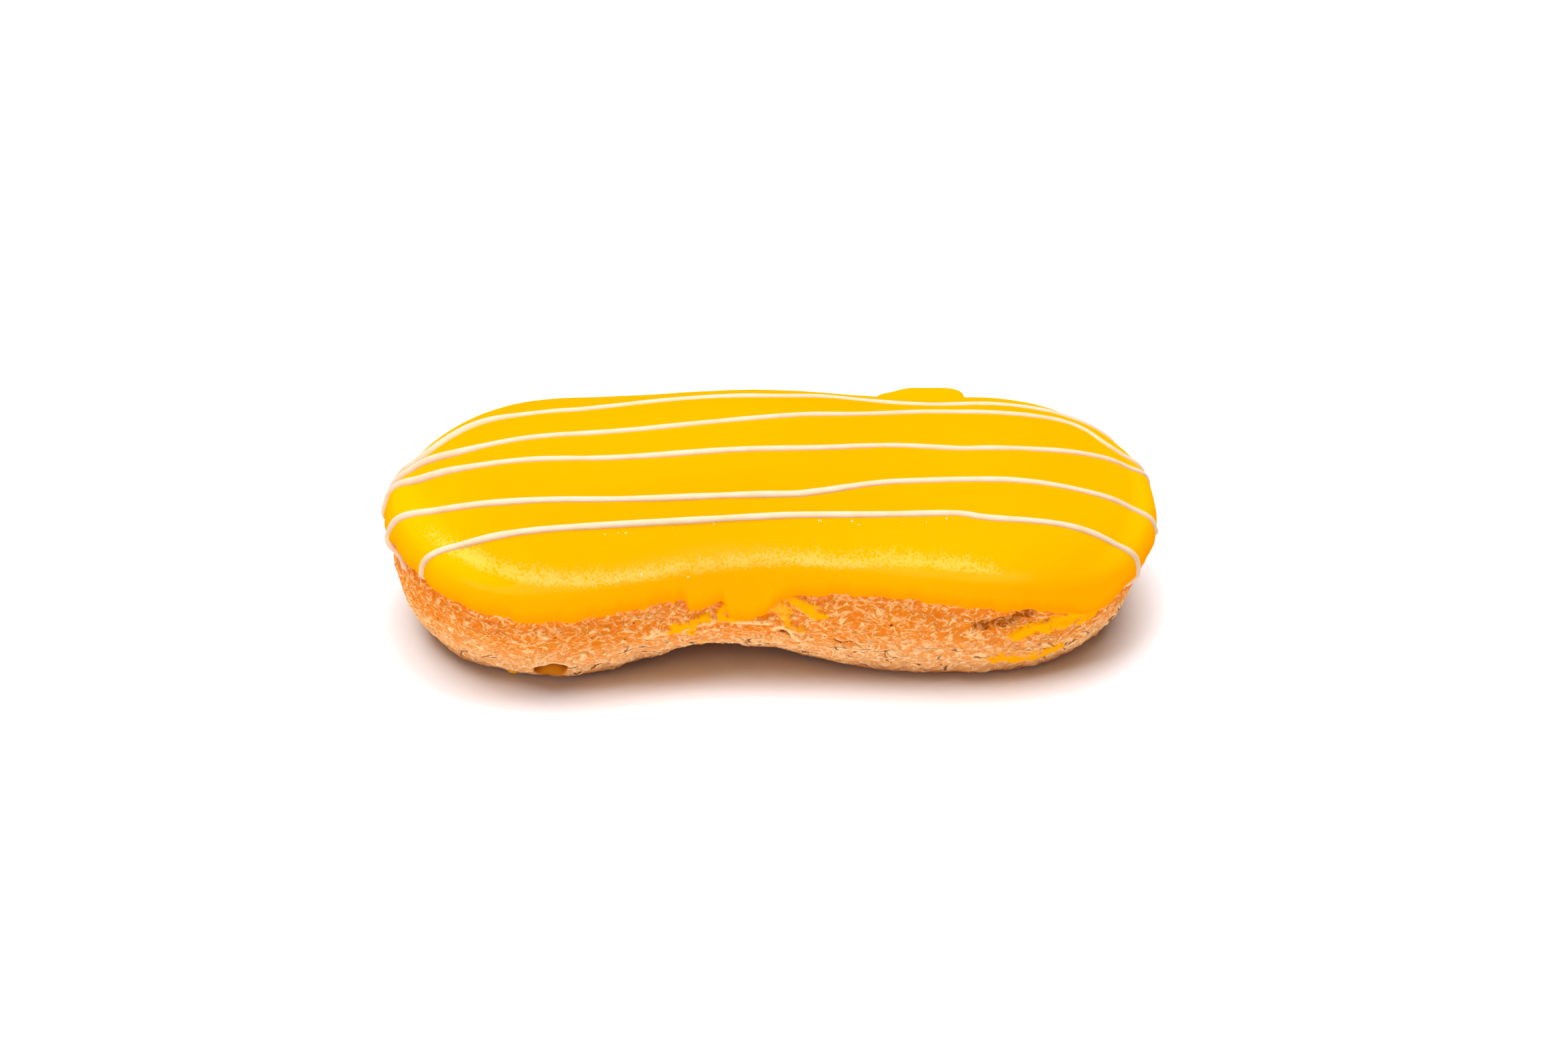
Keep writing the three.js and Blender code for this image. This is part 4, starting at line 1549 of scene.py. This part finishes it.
@dataclass
class GlintSpecks:
    """White points of painted glint that stand in the icing's front, most of them along the lowest string."""

    icing: bpy.types.Object
    finish: WhiteGlint = field(default_factory=WhiteGlint)
    density: float = 120000.0
    largest: float = 0.17
    smallest: float = 0.06
    seed: int = 8

    def build(self) -> bpy.types.Object:
        """Scatters the painted glint specks over the icing's outside.

        Returns:
            The glint specks as one mesh, dressed.
        """
        piece = link_mesh("painted_glint_specks", self.icing.data.copy())
        g = GeometryTree("speck_scatter")
        t = g.tree
        density = g.input("Density", self.density)
        largest = g.input("Largest", self.largest * MM)
        smallest = g.input("Smallest", self.smallest * MM)
        seed = g.input("Seed", self.seed, "NodeSocketInt")
        share = add(t, "GeometryNodeInputNamedAttribute", {"Name": "speck"}, data_type="FLOAT")
        spread = add(t, "ShaderNodeMath", [share, density], **MULTIPLY)
        scatter = {"Mesh": g.geometry, "Density": spread, "Seed": seed}
        points = add(t, "GeometryNodeDistributePointsOnFaces", scatter)
        ball = add(t, "GeometryNodeMeshIcoSphere", {"Radius": 1.0, "Subdivisions": 2})
        sizes = {LEAST: smallest, MOST: largest, "Seed": seed}
        size = add(t, "FunctionNodeRandomValue", sizes, **RANDOM_NUMBER)
        scattered = add(t, "GeometryNodeInstanceOnPoints", {"Points": points, "Instance": ball, "Scale": size})
        g.run(piece, scattered, self.finish.material())
        return piece


@dataclass(frozen=True)
class Lamp:
    """A soft light: where it hangs in metres, its width and height, and what it lights."""

    name: str
    place: tuple[float, float, float]
    width: float
    height: float
    watts: float
    colour: str = "#FFFFFF"
    diffuse: bool = True
    glossy: bool = True


@dataclass
class Studio:
    """White board, soft light and the camera at the photograph's angle."""

    finish: WhiteBoard = field(default_factory=WhiteBoard)
    board_size: float = 1.5
    sky_strength: float = 0.03
    backdrop_strength: float = 1.0
    sky_colour: str = "#FFFFFF"
    lamps: tuple[Lamp, ...] = (
        Lamp("top_softbox", (-0.03, 0.08, 1.1), 1.2, 0.85, 25.0, glossy=False),
        Lamp("front_fill", (-0.1, -0.95, 0.09), 1.2, 0.12, 2.3, "#FFDCB8", glossy=False),
        Lamp("left_fill", (-0.9, -0.25, 0.2), 0.5, 0.2, 1.8, "#FFF0E2", glossy=False),
        Lamp("right_fill", (0.9, -0.25, 0.2), 0.5, 0.2, 0.8, "#FFE6D2", glossy=False),
        Lamp("front_strip", (-0.12, -0.8, 0.42), 1.3, 0.3, 45.0, diffuse=False),
    )
    camera_place: tuple[float, float, float] = (-29.7, -630.5, 511.6)
    camera_aim: tuple[float, float, float] = (2.5, -0.13, 18.45)
    lens: float = 100.0
    sensor: float = 36.0

    def board(self) -> bpy.types.Object:
        """Lays the white board under the eclair.

        Returns:
            The board.
        """
        half = self.board_size / 2.0
        mesh = bpy.data.meshes.new("white_board")
        corners = [(-half, -half, 0.0), (half, -half, 0.0), (half, half, 0.0), (-half, half, 0.0)]
        mesh.from_pydata(corners, [], [(0, 1, 2, 3)])
        mesh.materials.append(self.finish.material())
        floor = link_mesh("white_board", mesh)
        return floor

    def hang(self, lamp: Lamp) -> None:
        """Hangs a lamp that points at the eclair.

        Args:
            lamp: The lamp.
        """
        light = bpy.data.lights.new(lamp.name, "AREA")
        light.shape = "RECTANGLE"
        light.size = lamp.width
        light.size_y = lamp.height
        light.energy = lamp.watts
        light.color = linear(lamp.colour)[:3]
        piece = bpy.data.objects.new(lamp.name, light)
        piece.location = lamp.place
        aim = Vector(self.camera_aim) * MM
        piece.rotation_euler = (aim - Vector(lamp.place)).to_track_quat("-Z", "Y").to_euler()
        piece.visible_diffuse = lamp.diffuse
        piece.visible_glossy = lamp.glossy
        bpy.context.scene.collection.objects.link(piece)

    def build(self) -> None:
        """Makes the board, the lights, the sky and the camera."""
        self.board()
        for lamp in self.lamps:
            self.hang(lamp)
        self.sky()
        self.camera()
        bpy.context.scene.view_settings.view_transform = "Standard"

    def sky(self) -> None:
        """Makes a sky that is a white backdrop to the eye and lights the eclair only a little."""
        world = bpy.data.worlds.new("studio")
        bpy.context.scene.world = world
        world.use_nodes = True
        tree = world.node_tree
        tree.nodes.clear()
        seen = add(tree, "ShaderNodeLightPath", output="Is Camera Ray")
        glow = add(tree, "ShaderNodeMapRange", [seen, 0.0, 1.0, self.sky_strength, self.backdrop_strength])
        sky = add(tree, "ShaderNodeBackground", [linear(self.sky_colour), glow])
        add(tree, "ShaderNodeOutputWorld", {"Surface": sky})

    def camera(self) -> None:
        """Sets the camera up where the photograph was taken from."""
        data = bpy.data.cameras.new("camera")
        data.lens = self.lens
        data.sensor_width = self.sensor
        camera = bpy.data.objects.new("camera", data)
        place, aim = Vector(self.camera_place) * MM, Vector(self.camera_aim) * MM
        camera.location = place
        camera.rotation_euler = (aim - place).to_track_quat("-Z", "Y").to_euler()
        bpy.context.scene.collection.objects.link(camera)
        bpy.context.scene.camera = camera


def report(piece: bpy.types.Object) -> None:
    """Logs a finished piece."""
    log.info("%s: %d vertices, %d faces", piece.name, len(piece.data.vertices), len(piece.data.polygons))


def main() -> None:
    """Builds the eclair's pieces in order, then the studio."""
    logging.basicConfig(level=logging.INFO, format="%(name)s: %(message)s")
    form, edge = LoafForm(), PouredEdge()
    pastry = Pastry(form, edge).build()
    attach(pastry, BODY)
    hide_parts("pastry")
    report(pastry)
    shape = Icing(form, edge)
    icing = shape.build()
    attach(icing, BODY)
    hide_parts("icing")
    report(icing)
    specks = GlintSpecks(icing).build()
    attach(specks, BODY)
    report(specks)
    drizzle = Drizzle(form, edge, shape).build()
    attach(drizzle, BODY)
    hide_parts("icing")
    report(drizzle)
    Studio().build()


if __name__ == "__main__":
    main()
